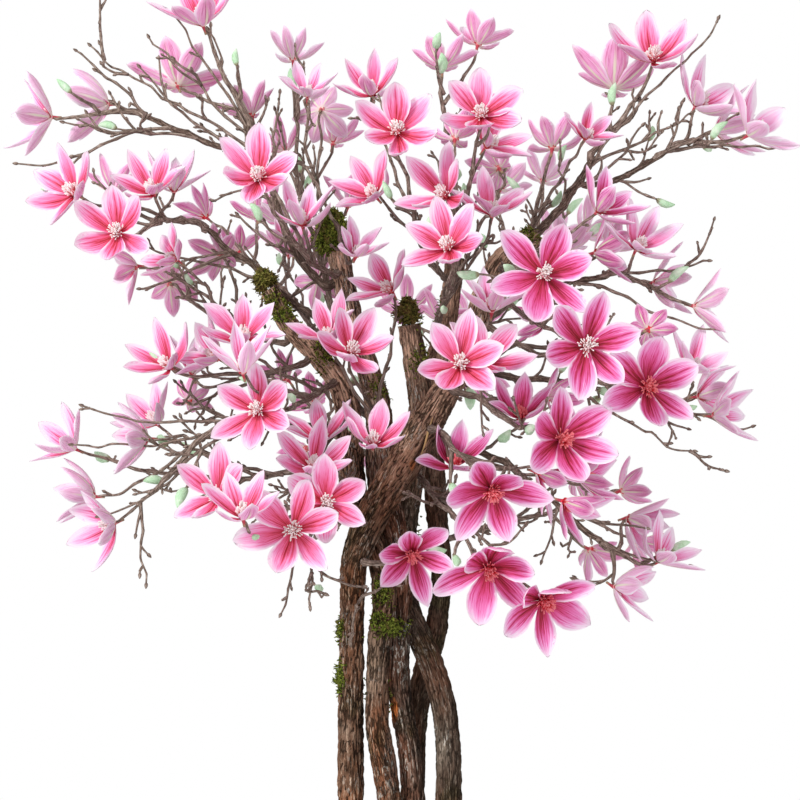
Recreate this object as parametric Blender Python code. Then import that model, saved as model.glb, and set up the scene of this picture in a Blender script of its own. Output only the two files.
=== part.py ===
# Artificial magnolia tree in a plain pot: five twisted stems of real wood, wired boughs let into
# them, and sprays of pink blossom on three-sided twigs.
# Metres, +Z up. The origin is the centre of the pot's flat underside, and the fuller face of the
# crown looks toward -Y, with +X to the right.

import math
import random

import bmesh
import bpy
import numpy as np
from mathutils import Matrix, Vector
from mathutils.bvhtree import BVHTree

for old in list(bpy.data.objects):
    bpy.data.objects.remove(old, do_unlink=True)

# Driving dimensions
PLANT_TOP = 1.65
CROWN_FOOT = 0.735
CROWN_REACH = 0.535
CROWN_DEPTH = 0.44
TEPAL_LENGTH = 0.067
GAP = 0.0003
GROUND = 0.235

# Pot and its filling
POT_HEIGHT = 0.265
POT_MOUTH = 0.168
POT_FOOT = 0.118
POT_WALL = 0.013
POT_FLOOR = 0.016
RIM_HEIGHT = 0.038
RIM_STEP = 0.008
CHAMFER = 0.004
POT_SIDES = 32
SHARP_ANGLE = math.radians(35)

# Stems and boughs
CURVE_DETAIL = 24
STEM_SIDES = 10
STEM_RINGS = 21
STEM_RIDGE = 0.05
RIDGE_COUNT = 3
RIDGE_TURNS = 1.3
FLARE = 0.30
FLARE_HEIGHT = 0.035
SETTLE_ROUNDS = 400
SETTLE_PLACES = 81
SETTLE_STEP = (0.09, 0.25, 0.0)
STEM_CLEARANCE = 0.0012
BOUGH_SIDES = 6
BOUGH_STEP = 0.045
BOUGH_WANDER = 0.014
ROOT_STUB = 0.011
ROOT_SEARCH = 0.16
AXIS_PLACES = 150
AXIS_LOW = 0.03
AXIS_HIGH = 0.97
ROOT_LEVELLING = 0.25
ROUTE_ARCH = 0.012
ARCH_PULL = 10
ROUTE_GAPS = 3

# Twigs, blooms and buds
TWIG_SIDES = 3
STEM_STEP = 0.06
TWIG_STEP = 0.045
TWIG_WANDER = 0.018
PULL_OUT = 0.9
PULL_IN = 0.7
MAIN_RADIUS = 0.0046
TWIG_RADIUS = 0.0032
TIP_RADIUS = 0.0022
ROOT_RADIUS = 0.0013
TEPALS = 6
TEPAL_WIDTH = 0.56
SHOULDER_SHARE = 0.58
SHOULDER_ANGLE = math.radians(27)
VALLEY_SHARE = 0.16
CUP = 0.045
SPREAD_CLOSED = 28
SPREAD_SPAN = 50
BEND = 30
CONE_HEIGHT = 0.013
LEAN_MIDDLE = 0.5
BUD_LENGTH = 0.032
BUD_WIDTH = 0.0065
BUD_WAIST = 0.35
BUD_POINT = 0.0005
OPEN_LOW = 0.35
OPEN_HIGH = 0.80
TRIES = 10
ROUTES = 14
CLEARANCE = 0.0006
GOLDEN_ANGLE = math.radians(137.5)
WELD = 2e-6
SCRAP_FACES = 12

# Each stem: radius at the foot and at the top, how much it swells where the stems cross, and the
# places it passes on its way up
STEMS = {
    "stem_left": (0.0185, 0.0150, 0.48, [
        (-0.060, -0.012, GROUND), (-0.064, -0.016, 0.560), (-0.060, -0.030, 0.840),
        (-0.036, -0.050, 0.925), (0.034, -0.048, 1.045), (0.104, -0.032, 1.175),
        (0.125, -0.020, 1.255), (0.185, -0.010, 1.309)]),
    "stem_centre_left": (0.0175, 0.0135, 0.22, [
        (-0.018, -0.028, GROUND), (-0.010, -0.028, 0.520), (-0.030, -0.022, 0.680),
        (-0.013, -0.010, 0.846), (-0.060, 0.000, 0.965), (-0.072, 0.000, 1.095),
        (-0.146, -0.010, 1.187), (-0.173, -0.012, 1.235)]),
    "stem_centre": (0.0165, 0.0145, 0.30, [
        (0.014, 0.000, GROUND), (0.020, 0.000, 0.560), (0.001, -0.002, 0.700),
        (0.000, -0.002, 0.830), (-0.018, 0.008, 0.978), (-0.030, 0.012, 1.095),
        (-0.060, 0.010, 1.190), (-0.082, 0.005, 1.288)]),
    "stem_right": (0.0180, 0.0155, 0.25, [
        (0.060, -0.022, GROUND), (0.066, -0.020, 0.600), (0.050, -0.012, 0.715),
        (0.010, 0.034, 0.810), (0.012, 0.030, 0.950), (0.032, 0.000, 1.060),
        (0.024, -0.008, 1.130), (0.015, -0.012, 1.187)]),
    "stem_back": (0.0170, 0.0125, 0.20, [
        (0.030, 0.048, GROUND), (0.022, 0.048, 0.620), (0.050, 0.045, 0.770),
        (0.060, 0.040, 0.860), (0.046, 0.040, 0.980), (0.046, 0.035, 1.100),
        (0.066, 0.030, 1.190), (0.078, 0.025, 1.280)]),
}
CROSSING_HEIGHT = 1.00
CROSSING_SPREAD = 0.10

# Moss on the three sawn stem tops: the stem, and the cushion's radius and height
MOSS_CAPS = {
    "moss_left": ("stem_centre_left", 0.021, 0.034),
    "moss_top": ("stem_centre", 0.023, 0.052),
    "moss_centre": ("stem_right", 0.020, 0.036),
}
MOSS_SIDES = 8
MOSS_RINGS = 4
MOSS_LOW = 0.28
MOSS_SPAN = 0.62

# Each bough: where it leaves, as a stem's or bough's name for its tip or as a place inside the
# trunk, its tip, how far it arches up, and its radius at the root and tip
BOUGHS = {
    "bough_upper_left": ((-0.076, 0.006, 1.235), (-0.200, 0.000, 1.455), 0.010, 0.0068, 0.0052),
    "bough_far_left": (("bough_upper_left", 0.86), (-0.345, 0.015, 1.472), 0.025, 0.0050, 0.0040),
    "bough_left": ((-0.060, 0.010, 1.190), (-0.262, 0.030, 1.320), 0.010, 0.0062, 0.0045),
    "bough_low_left": ((-0.068, 0.000, 1.045), (-0.222, -0.050, 1.052), 0.012, 0.0062, 0.0045),
    "bough_upper_right": ("stem_left", (0.262, 0.000, 1.412), -0.010, 0.0072, 0.0052),
    "bough_far_right": (("bough_upper_right", 0.70), (0.372, 0.025, 1.428), -0.020, 0.0050, 0.0040),
    "bough_right": ((0.122, -0.022, 1.240), (0.285, 0.030, 1.256), 0.004, 0.0058, 0.0042),
    "bough_mid_right": ((0.085, -0.038, 1.125), (0.272, 0.005, 1.112), -0.010, 0.0060, 0.0044),
    "bough_low_right": ((0.046, 0.036, 1.030), (0.276, -0.010, 0.892), 0.022, 0.0060, 0.0044),
    "bough_top": ("stem_back", (0.068, 0.035, 1.430), 0.000, 0.0070, 0.0050),
    "bough_back_left": ((-0.020, 0.010, 1.060), (-0.150, 0.210, 1.230), 0.020, 0.0062, 0.0045),
    "bough_back_right": ((0.046, 0.035, 1.080), (0.150, 0.225, 1.250), 0.020, 0.0062, 0.0045),
}

# Each spray: where it leaves, as above, then its blooms with a place of their own, each as the
# place of its foot, its facing (degrees to the right of the viewer, degrees up) and how far it is
# open, and last how many more blooms follow by rule
SPRAYS = {
    "spray_top_left": ("bough_upper_left", [
        ((-0.260, -0.035, 1.585), (-25, 60), 0.62), ((-0.300, 0.030, 1.513), (175, 50), 0.70)], 0),
    "spray_far_left": ("bough_far_left", [
        ((-0.469, 0.020, 1.470), (-82, 5), 0.60), ((-0.396, 0.055, 1.492), (-100, 0), 0.65)], 0),
    "spray_left": ("bough_left", [
        ((-0.360, -0.150, 1.300), (-8, 18), 0.85), ((-0.422, -0.090, 1.356), (-40, 25), 0.75),
        ((-0.323, -0.060, 1.358), (-20, 45), 0.65), ((-0.387, 0.030, 1.368), (170, 65), 0.50),
        ((-0.304, 0.015, 1.367), (10, 75), 0.40)], 0),
    "spray_low_left": ("bough_low_left", [
        ((-0.375, -0.050, 0.923), (-60, -5), 0.65), ((-0.409, 0.010, 0.955), (-85, 10), 0.50)], 0),
    "spray_upper_right": ("bough_upper_right", [
        ((0.344, 0.000, 1.541), (5, 55), 0.75), ((0.295, 0.040, 1.511), (178, 62), 0.75)], 0),
    "spray_far_right": ("bough_far_right", [
        ((0.467, -0.035, 1.439), (62, 40), 0.65), ((0.403, 0.020, 1.483), (60, 45), 0.60),
        ((0.437, 0.080, 1.457), (75, 15), 0.45)], 0),
    "spray_right": ("bough_right", [
        ((0.398, 0.000, 1.213), (82, -3), 0.50), ((0.316, -0.050, 1.285), (35, 45), 0.65),
        ((0.349, 0.055, 1.247), (85, -3), 0.60)], 0),
    "spray_mid_right": ("bough_mid_right", [
        ((0.421, -0.020, 1.065), (72, 15), 0.50), ((0.409, 0.045, 1.090), (75, 10), 0.50),
        ((0.391, -0.030, 1.123), (40, 50), 0.50)], 0),
    "spray_low_right": ("bough_low_right", [
        ((0.350, 0.000, 0.867), (60, 50), 0.60), ((0.288, -0.030, 0.836), (72, -3), 0.50),
        ((0.310, 0.020, 0.926), (75, -12), 0.55)], 0),
    "spray_top": ("bough_top", [
        ((0.060, 0.030, 1.537), (178, 65), 0.75), ((0.102, 0.160, 1.504), (155, 35), 0.60)], 1),
    "spray_back_left": ("bough_back_left", [((-0.235, 0.315, 1.305), (-150, 35), 0.60)], 3),
    "spray_back_right": ("bough_back_right", [((0.230, 0.330, 1.330), (150, 35), 0.60)], 3),
    "spray_high_left": ((-0.060, 0.010, 1.175), [
        ((-0.145, 0.080, 1.555), (175, 72), 0.60), ((-0.106, 0.060, 1.485), (172, -5), 0.75),
        ((-0.122, 0.000, 1.494), (15, 55), 0.50), ((-0.055, -0.105, 1.273), (15, 50), 0.50)], 0),
    "spray_high_right": ((0.150, -0.015, 1.285), [
        ((0.210, 0.030, 1.428), (176, 60), 0.75), ((0.249, -0.040, 1.433), (35, 45), 0.60)], 0),
    "spray_left_back": ((-0.120, 0.000, 1.180), [
        ((-0.314, 0.060, 1.246), (178, 0), 0.75), ((-0.350, -0.010, 1.266), (-85, -5), 0.60),
        ((-0.241, 0.040, 1.283), (-150, 10), 0.60), ((-0.110, 0.060, 1.250), (175, 15), 0.60)], 1),
    "spray_front_high_left": ((-0.080, 0.005, 1.262), [
        ((-0.176, -0.200, 1.366), (-3, 26), 0.80), ((-0.199, 0.030, 1.472), (-140, 60), 0.50),
        ((-0.126, -0.060, 1.316), (-10, 60), 0.45), ((-0.153, 0.120, 1.286), (5, 72), 0.50)], 0),
    "spray_front_high": ((0.074, 0.026, 1.250), [
        ((-0.001, -0.215, 1.422), (-5, 28), 0.85), ((-0.035, 0.000, 1.496), (-5, 50), 0.50),
        ((-0.029, -0.080, 1.353), (-35, 35), 0.60)], 0),
    "spray_front_top": ((0.077, 0.025, 1.262), [
        ((0.107, -0.150, 1.450), (-3, 28), 0.85), ((0.117, -0.020, 1.424), (55, 35), 0.55),
        ((0.076, -0.030, 1.434), (175, 40), 0.60)], 0),
    "spray_front_upper": ((0.060, 0.030, 1.165), [
        ((0.061, -0.200, 1.342), (-35, 30), 0.65), ((0.063, -0.270, 1.273), (-18, 28), 0.75),
        ((0.123, -0.095, 1.326), (10, 60), 0.60), ((0.138, 0.040, 1.402), (-150, 20), 0.75)], 0),
    "spray_front_right_high": ((0.130, -0.020, 1.262), [
        ((0.178, -0.300, 1.239), (3, 8), 0.95), ((0.264, -0.005, 1.284), (80, 10), 0.55),
        ((0.197, -0.050, 1.191), (-100, 0), 0.50), ((0.261, -0.080, 1.332), (60, 40), 0.55)], 0),
    "spray_front_right": ((0.118, -0.024, 1.222), [((0.228, -0.330, 1.151), (6, 3), 0.95)], 0),
    "spray_front_far_right": ((0.106, -0.030, 1.180), [
        ((0.309, -0.250, 1.102), (12, 5), 0.90), ((0.332, -0.050, 1.179), (160, 10), 0.60)], 0),
    "spray_front_centre": ((0.090, -0.036, 1.145), [
        ((0.107, -0.210, 1.134), (15, 45), 0.80), ((0.076, -0.290, 1.129), (0, 18), 0.80),
        ((0.120, -0.170, 1.198), (5, 75), 0.45)], 0),
    "spray_front_right_low": ((0.066, -0.042, 1.095), [
        ((0.200, -0.280, 1.038), (22, 3), 0.90), ((0.159, -0.120, 1.060), (0, 50), 0.50),
        ((0.195, -0.080, 1.090), (110, 0), 0.60)], 0),
    "spray_front_low": ((0.036, -0.048, 1.050), [
        ((0.116, -0.270, 0.975), (8, -18), 0.95), ((0.073, -0.105, 0.997), (15, 55), 0.60),
        ((0.178, -0.140, 0.993), (70, -20), 0.40), ((0.238, -0.060, 0.983), (80, 5), 0.50)], 0),
    "spray_front_lowest": ((0.040, 0.000, 0.985), [
        ((0.112, -0.255, 0.877), (5, -16), 0.90), ((0.179, -0.250, 0.837), (25, -18), 0.90),
        ((0.208, -0.195, 0.958), (65, -20), 0.55)], 0),
    "spray_trunk": ((-0.055, -0.033, 0.870), [((0.018, -0.135, 0.887), (8, -8), 0.80)], 0),
    "spray_front_middle": ((-0.018, -0.010, 1.080), [
        ((-0.032, -0.150, 1.026), (5, 58), 0.60), ((-0.062, -0.130, 1.147), (20, 30), 0.75),
        ((-0.090, -0.060, 1.164), (-20, 50), 0.50), ((-0.007, -0.040, 1.229), (-50, 35), 0.60)], 0),
    "spray_front_low_left": ((-0.036, -0.050, 0.925), [
        ((-0.129, -0.280, 0.926), (-3, 6), 0.90), ((-0.090, -0.230, 0.957), (8, 10), 0.80),
        ((-0.109, -0.155, 0.996), (10, 50), 0.65), ((-0.101, -0.050, 1.029), (-10, 65), 0.50)], 0),
    "spray_left_low": ((-0.055, -0.010, 0.950), [
        ((-0.228, -0.190, 0.963), (-25, 25), 0.75), ((-0.188, -0.320, 0.941), (0, 60), 0.60)], 0),
    "spray_front_left": ((-0.080, 0.000, 1.110), [
        ((-0.177, -0.200, 1.072), (-8, 14), 0.85), ((-0.201, -0.120, 1.163), (0, 50), 0.65),
        ((-0.194, -0.230, 1.119), (-5, 65), 0.35), ((-0.237, -0.050, 1.140), (-60, 30), 0.50)], 0),
    "spray_left_middle": ((-0.110, -0.005, 1.140), [
        ((-0.300, -0.070, 1.128), (-35, 35), 0.60), ((-0.280, 0.025, 1.119), (0, 75), 0.35),
        ((-0.287, 0.040, 1.083), (170, 20), 0.50)], 0),
    "spray_left_tip": ((-0.062, 0.000, 0.985), [
        ((-0.439, 0.030, 1.019), (-60, 35), 0.55), ((-0.334, -0.020, 1.034), (-85, 0), 0.60),
        ((-0.331, 0.065, 1.052), (-50, 45), 0.50)], 0),
}

# The back of the crown, which the front hides, follows a spiral rule
BACK_SPRAYS = 5
BACK_FOOT = 0.90
BACK_RISE = 0.60
BACK_REACH = 0.355
BACK_FIRST = 104
BACK_ARC = 136
BACK_BLOOMS = 4
BACK_OPEN = 0.60
BACK_TURN = 97
BACK_LOW = 0.30
BACK_SPAN = 0.50
BACK_ROOT_REACH = 0.03
BACK_ROOT_DROP = 0.07
BACK_ROOT_TOP = 1.17
BACK_FACING = 15
BACK_FACING_SPAN = 40

# How a second bloom of its own place forks off the first one's stem
LEAD_SHARE = 0.30
LEAD_STEP = 0.05
LEAD_PLACES = 8
LEAD_ALONG = 0.5

# How a following bloom's twig leaves its stem, and how much its facing owes to that, to the
# way out of the crown, to the light above and to chance
SHARE_LOW = 0.38
SHARE_SPAN = 0.52
FORK_LOW = math.radians(32)
FORK_HIGH = math.radians(62)
TWIG_LOW = 0.075
TWIG_HIGH = 0.140
BUD_TWIG_LOW = 0.030
BUD_TWIG_HIGH = 0.060
TURN_CHANCE = 0.5
FACING_ALONG = 0.45
FACING_OUT = 0.75
FACING_UP = 0.35
FACING_CHANCE = 0.35
REACH_TURN = 0.5
CROWN_CENTRE = Vector((0.0, 0.0, 1.10))
UP = Vector((0.0, 0.0, 1.0))

# What has grown so far: each limb's path and radii, its surface, and every surface to keep off
woods = {}
wood_trees = {}
taken = []


# Materials
def material(name, color, roughness):
    made = bpy.data.materials.new(name)
    made.use_nodes = True
    shader = made.node_tree.nodes["Principled BSDF"]
    shader.inputs["Base Color"].default_value = (*color, 1.0)
    shader.inputs["Roughness"].default_value = roughness
    shader.inputs["Metallic"].default_value = 0.0
    return made


bark_finish = ((0.105, 0.060, 0.042), 0.90)
twig_finish = ((0.140, 0.100, 0.082), 0.85)
bloom_finish = ((0.800, 0.260, 0.420), 0.70)
pot_finish = ((0.085, 0.088, 0.092), 0.75)
soil_finish = ((0.050, 0.036, 0.028), 0.95)
moss_finish = ((0.090, 0.130, 0.030), 0.95)


# Objects from points and faces
def add_object(name, points, faces, finish):
    mesh = bpy.data.meshes.new(name)
    mesh.from_pydata([tuple(point) for point in points], [], faces)
    mesh.update()
    mesh.materials.append(material(name, *finish))
    made = bpy.data.objects.new(name, mesh)
    bpy.context.scene.collection.objects.link(made)
    return made


def turned_object(name, profile, finish):
    mesh = bpy.data.meshes.new(name)
    shell = bmesh.new()
    corners = [shell.verts.new((radius, 0.0, height)) for radius, height in profile]
    edges = [shell.edges.new(pair) for pair in zip(corners, corners[1:])]
    bmesh.ops.spin(shell, geom=corners + edges, cent=(0, 0, 0), axis=(0, 0, 1),
                   angle=math.tau, steps=POT_SIDES, use_duplicate=False)
    bmesh.ops.remove_doubles(shell, verts=shell.verts, dist=1e-6)
    bmesh.ops.recalc_face_normals(shell, faces=shell.faces)
    shell.to_mesh(mesh)
    shell.free()
    mesh.materials.append(material(name, *finish))
    mesh.shade_smooth()
    mesh.set_sharp_from_angle(angle=SHARP_ANGLE)
    made = bpy.data.objects.new(name, mesh)
    bpy.context.scene.collection.objects.link(made)
    return made


# Pot: a tapered tub with a plain band round its mouth
def inner_radius(height):
    share = (height - POT_FLOOR) / (POT_HEIGHT - POT_FLOOR)
    low = POT_FOOT - POT_WALL
    high = POT_MOUTH - RIM_STEP - POT_WALL
    return low + (high - low) * share


def build_pot():
    band = POT_HEIGHT - RIM_HEIGHT
    under_band = POT_MOUTH - RIM_STEP
    profile = [
        (0.0, 0.0), (POT_FOOT - CHAMFER, 0.0), (POT_FOOT, CHAMFER), (under_band, band),
        (POT_MOUTH - CHAMFER / 2, band), (POT_MOUTH, band + CHAMFER / 2),
        (POT_MOUTH, POT_HEIGHT - CHAMFER / 2), (POT_MOUTH - CHAMFER / 2, POT_HEIGHT),
        (inner_radius(POT_HEIGHT), POT_HEIGHT), (inner_radius(POT_FLOOR), POT_FLOOR),
        (0.0, POT_FLOOR)]
    turned_object("pot", profile, pot_finish)


def build_soil():
    low = POT_FLOOR + GAP
    profile = [(0.0, low), (inner_radius(low) - 2 * GAP, low),
               (inner_radius(GROUND - GAP) - 2 * GAP, GROUND - GAP), (0.0, GROUND - GAP)]
    turned_object("soil", profile, soil_finish)


# Curves
def smooth_path(points, count):
    # Catmull-Rom curve through the points, read at equal lengths
    knots = np.array([points[0]] + list(points) + [points[-1]], dtype=float)
    knots[0] = 2 * knots[1] - knots[2]
    knots[-1] = 2 * knots[-2] - knots[-3]
    dense = []
    for a, b, c, d in zip(knots, knots[1:], knots[2:], knots[3:]):
        for t in np.linspace(0.0, 1.0, CURVE_DETAIL, endpoint=False):
            dense.append(0.5 * (2 * b + (c - a) * t + (2 * a - 5 * b + 4 * c - d) * t ** 2
                                + (3 * b - a - 3 * c + d) * t ** 3))
    dense.append(knots[-2])
    return resample(np.array(dense), count)


def resample(path, count):
    steps = np.linalg.norm(np.diff(path, axis=0), axis=1)
    lengths = np.concatenate([[0.0], np.cumsum(steps)])
    marks = np.linspace(0.0, lengths[-1], count)
    return np.stack([np.interp(marks, lengths, path[:, axis]) for axis in range(3)], axis=1)


def arching_path(start, start_way, end, end_way, step, wander, seed):
    # Hermite curve with a small seeded wander, as a wired twig has
    rng = random.Random(seed)
    start, end = Vector(start), Vector(end)
    span = (end - start).length
    count = max(4, 2 + round(span / step))
    pull_out = start_way * span * PULL_OUT
    pull_in = end_way * span * PULL_IN
    path = []
    for index in range(count):
        t = index / (count - 1)
        place = ((2 * t ** 3 - 3 * t ** 2 + 1) * start + (t ** 3 - 2 * t ** 2 + t) * pull_out
                 + (3 * t ** 2 - 2 * t ** 3) * end + (t ** 3 - t ** 2) * pull_in)
        sway = Vector([rng.uniform(-1, 1) for _ in range(3)]) * wander * span
        if 0 < index < count - 1:
            place = place + sway
        path.append(place)
    return path


def sweep(path, radii, sides, first_way=None, last_way=None, roll=0.0, ridge=0.0):
    # Rings of points round the path, carried along it without twisting, closed by flat ends.
    # The last ring's side is returned too, for what grows on from it
    ways = [Vector(way).normalized() for way in np.gradient(np.array(path), axis=0)]
    if first_way is not None:
        ways[0] = Vector(first_way)
    if last_way is not None:
        ways[-1] = Vector(last_way)
    aside = Vector((0, 1, 0)) if abs(ways[0].y) < 0.8 else Vector((1, 0, 0))
    side = Matrix.Rotation(roll, 3, ways[0]) @ ways[0].cross(aside)
    points = []
    for index, (place, way, radius) in enumerate(zip(path, ways, radii)):
        side = (side - way * side.dot(way)).normalized()
        across = way.cross(side)
        turn = RIDGE_TURNS * math.tau * index / len(path)
        for corner in range(sides):
            angle = math.tau * corner / sides
            reach = radius * (1 + ridge * math.cos(RIDGE_COUNT * angle + turn))
            outward = math.cos(angle) * side + math.sin(angle) * across
            points.append(Vector(place) + outward * reach)
    faces = [tuple(range(sides))[::-1]]
    for ring in range(len(path) - 1):
        for corner in range(sides):
            low = ring * sides + corner
            low_next = ring * sides + (corner + 1) % sides
            faces.append((low, low_next, low_next + sides))
            faces.append((low, low_next + sides, low + sides))
    last = (len(path) - 1) * sides
    faces.append(tuple(range(last, last + sides)))
    return points, faces, side


def tree_of(points, faces):
    return BVHTree.FromPolygons([Vector(point) for point in points], faces)


# Stems: real-wood poles that stand on the ground in the pot and twist round each other
def settle(paths, radii):
    # Neighbours that would overlap, at their rings or between them, are pushed apart, mostly in
    # depth, until they only touch
    names = list(paths)
    marks = np.linspace(0, STEM_RINGS - 1, SETTLE_PLACES)
    weights = np.clip(1 - abs(marks[:, None] - np.arange(STEM_RINGS)[None, :]), 0.0, None)
    sizes = {name: weights @ radii[name] for name in names}
    for _ in range(SETTLE_ROUNDS):
        places = {name: weights @ paths[name] for name in names}
        pushes = {name: np.zeros_like(places[name]) for name in names}
        for order, one in enumerate(names):
            for other in names[order + 1:]:
                apart = places[one][:, None, :] - places[other][None, :, :]
                distance = np.linalg.norm(apart, axis=2)
                wanted = sizes[one][:, None] + sizes[other][None, :] + STEM_CLEARANCE
                short = np.clip(wanted - distance, 0.0, None)
                force = apart / distance[:, :, None] * short[:, :, None] * SETTLE_STEP
                pushes[one] += force.sum(axis=1) / 2
                pushes[other] -= force.sum(axis=0) / 2
        for name in names:
            shares = weights.sum(axis=0)[:, None]
            paths[name] = paths[name] + weights.T @ pushes[name] / shares
    return paths


def build_stems():
    paths = {}
    radii = {}
    for name, (foot, top, swell, places) in STEMS.items():
        path = smooth_path(places, STEM_RINGS)
        height = path[:, 2]
        thick = np.linspace(foot, top, STEM_RINGS)
        thick *= 1 + swell * np.exp(-((height - CROSSING_HEIGHT) / CROSSING_SPREAD) ** 2)
        thick *= 1 + FLARE * np.exp(-(height - GROUND) / FLARE_HEIGHT)
        paths[name] = path
        radii[name] = thick
    settle(paths, {name: thick * (1 + STEM_RIDGE) for name, thick in radii.items()})
    for name, path in paths.items():
        points, faces, _ = sweep(path, radii[name], STEM_SIDES, (0, 0, 1), ridge=STEM_RIDGE)
        add_object(name, points, faces, bark_finish)
        keep_wood(name, path, radii[name], points, faces)


def keep_wood(name, path, radii, points, faces):
    woods[name] = ([Vector(place) for place in path], list(radii))
    wood_trees[name] = tree_of(points, faces)
    taken.append((name, wood_trees[name]))


# Moss: a domed cushion on each sawn stem top
def build_moss():
    for name, (stem, radius, height) in MOSS_CAPS.items():
        path, _ = woods[stem]
        way = (path[-1] - path[-2]).normalized()
        foot = path[-1] + way * GAP
        rings = []
        sizes = []
        for ring in range(MOSS_RINGS + 1):
            angle = math.pi * (MOSS_LOW + MOSS_SPAN * ring / MOSS_RINGS)
            rise = (1 - math.cos(math.pi * ring / MOSS_RINGS)) / 2
            rings.append(foot + way * height * rise)
            sizes.append(radius * math.sin(angle))
        points, faces, _ = sweep(rings, sizes, MOSS_SIDES, way, way)
        add_object(name, points, faces, moss_finish)
        taken.append((name, tree_of(points, faces)))


# Where a limb leaves: the tip of the named wood, the side of a bough at a share of its length, or
# the first wood met on the way in to a place inside the trunk
def root_of(source, goal):
    if isinstance(source, str):
        path, _ = woods[source]
        way = (path[-1] - path[-2]).normalized()
        return path[-1], way
    if isinstance(source[0], str):
        carriers = [source[0]]
        inside, _ = place_on(woods[source[0]][0], source[1])
    else:
        carriers = list(STEMS)
        axes = [place_on(woods[name][0], share)[0]
                for name in STEMS for share in np.linspace(AXIS_LOW, AXIS_HIGH, AXIS_PLACES)]
        inside = min(axes, key=lambda place: (place - Vector(source)).length)
    way = Vector(goal) - inside
    way.z *= ROOT_LEVELLING
    way.normalize()
    outside = inside + way * ROOT_SEARCH
    hits = [wood_trees[name].ray_cast(outside, -way, ROOT_SEARCH) for name in carriers]
    met = [hit for hit in hits if hit[0] is not None]
    place, normal, _, _ = min(met, key=lambda hit: hit[3])
    return place, normal


def rooted_path(source, goal, goal_way, arch, route, step, wander, seed):
    # Later routes arch more, up and down by turns, and start a little further off the wood
    place, normal = root_of(source, goal)
    toward = (Vector(goal) - place).normalized()
    lift = arch + ROUTE_ARCH * route * (-1) ** route
    start_way = (toward + normal + UP * lift * ARCH_PULL).normalized()
    stub = place + normal * ROOT_STUB
    bend = arching_path(stub, start_way, goal, goal_way, step, wander, seed)
    return [place + normal * GAP * (1 + route % ROUTE_GAPS)] + bend, normal


def is_clear(points, faces, spared=()):
    probe = tree_of(points, faces)
    return not any(probe.overlap(tree) for name, tree in taken if name not in spared)


def thicker(radii):
    # Radii for testing clearance, with the root as it is, close to the wood that carries it
    return np.concatenate([radii[:1], radii[1:] + CLEARANCE])


def bends_clear(head, path, radii):
    # Whether a twig's head keeps off the twig's own earlier part
    if len(path) < 4:
        return True
    return not tree_of(*head).overlap(tree_of(*sweep(path[:-2], radii[:-2], TWIG_SIDES)[:2]))


def build_boughs():
    for name, (source, tip, arch, root_radius, tip_radius) in BOUGHS.items():
        for route in range(ROUTES):
            place, _ = root_of(source, tip)
            way = (Vector(tip) - place).normalized()
            path, normal = rooted_path(source, tip, way, arch, route, BOUGH_STEP, BOUGH_WANDER,
                                       f"{name} {route}")
            radii = np.linspace(root_radius, tip_radius, len(path))
            if is_clear(*sweep(path, thicker(radii), BOUGH_SIDES, normal)[:2]):
                break
        points, faces, _ = sweep(path, radii, BOUGH_SIDES, normal)
        add_object(name, points, faces, twig_finish)
        keep_wood(name, path, radii, points, faces)


# Bloom: a closed star of six cupped tepals with a raised middle, grown straight from the twig
def tepal_lean(share, openness):
    # How far a tepal leans out from the bloom's axis at a share of its length
    spread = math.radians(SPREAD_CLOSED + SPREAD_SPAN * openness)
    return spread - math.radians(BEND * openness) * (share - LEAN_MIDDLE)


def add_bloom(points, faces, side, way, openness):
    across = way.cross(side)
    foot = points[-TWIG_SIDES].lerp(points[-1], 0.5).lerp(points[-2], 1 / 3)
    ring = len(points) - TWIG_SIDES
    faces.pop()

    def spot(angle, share, lift=0.0):
        lean = tepal_lean(share, openness)
        outward = math.cos(angle) * side + math.sin(angle) * across
        reach = outward * math.sin(lean) + way * math.cos(lean)
        normal = way * math.sin(lean) - outward * math.cos(lean)
        return foot + reach * TEPAL_LENGTH * share + normal * lift

    centre = len(points)
    points.append(foot + way * CONE_HEIGHT)
    for tepal in range(TEPALS):
        angle = math.tau * tepal / TEPALS
        middle = angle + math.pi / TEPALS
        sideways = math.cos(middle) * across - math.sin(middle) * side
        shoulder = spot(middle, SHOULDER_SHARE, CUP * TEPAL_LENGTH)
        out = (shoulder - foot).cross(way).length
        half = min(TEPAL_WIDTH / 2 * TEPAL_LENGTH, out * math.tan(SHOULDER_ANGLE))
        points += [spot(angle, VALLEY_SHARE), shoulder - sideways * half,
                   spot(middle, 1.0), shoulder + sideways * half,
                   spot(middle, SHOULDER_SHARE)]
    for tepal in range(TEPALS):
        valley, right, tip, left, under = range(centre + 1 + 5 * tepal, centre + 6 + 5 * tepal)
        after = centre + 1 + 5 * ((tepal + 1) % TEPALS)
        faces += [(centre, valley, right), (centre, right, left), (centre, left, after)]
        faces += [(right, tip, left), (right, valley, under), (tip, right, under)]
        faces += [(left, tip, under), (after, left, under), (valley, after, under)]
    valleys = [centre + 1 + 5 * tepal for tepal in range(TEPALS)]
    for corner in range(TWIG_SIDES):
        low, low_next = ring + corner, ring + (corner + 1) % TWIG_SIDES
        first, second, third = (valleys[(2 * corner + step) % TEPALS] for step in range(3))
        faces += [(low, low_next, second), (low, second, first), (low_next, third, second)]


def facing_way(facing):
    right, up = (math.radians(angle) for angle in facing)
    return Vector((math.sin(right) * math.cos(up), -math.cos(right) * math.cos(up),
                   math.sin(up)))


def twig_radii(path):
    # A twig's root is slim enough to end inside the stem it grows from
    radii = np.linspace(TWIG_RADIUS, TIP_RADIUS, len(path))
    radii[0] = ROOT_RADIUS
    return radii


def bloomed_twig(path, radii, way, openness, roll, first_way=None):
    points, faces, side = sweep(path, radii, TWIG_SIDES, first_way, way, roll)
    add_bloom(points, faces, side, way, openness)
    return points, faces


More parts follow.
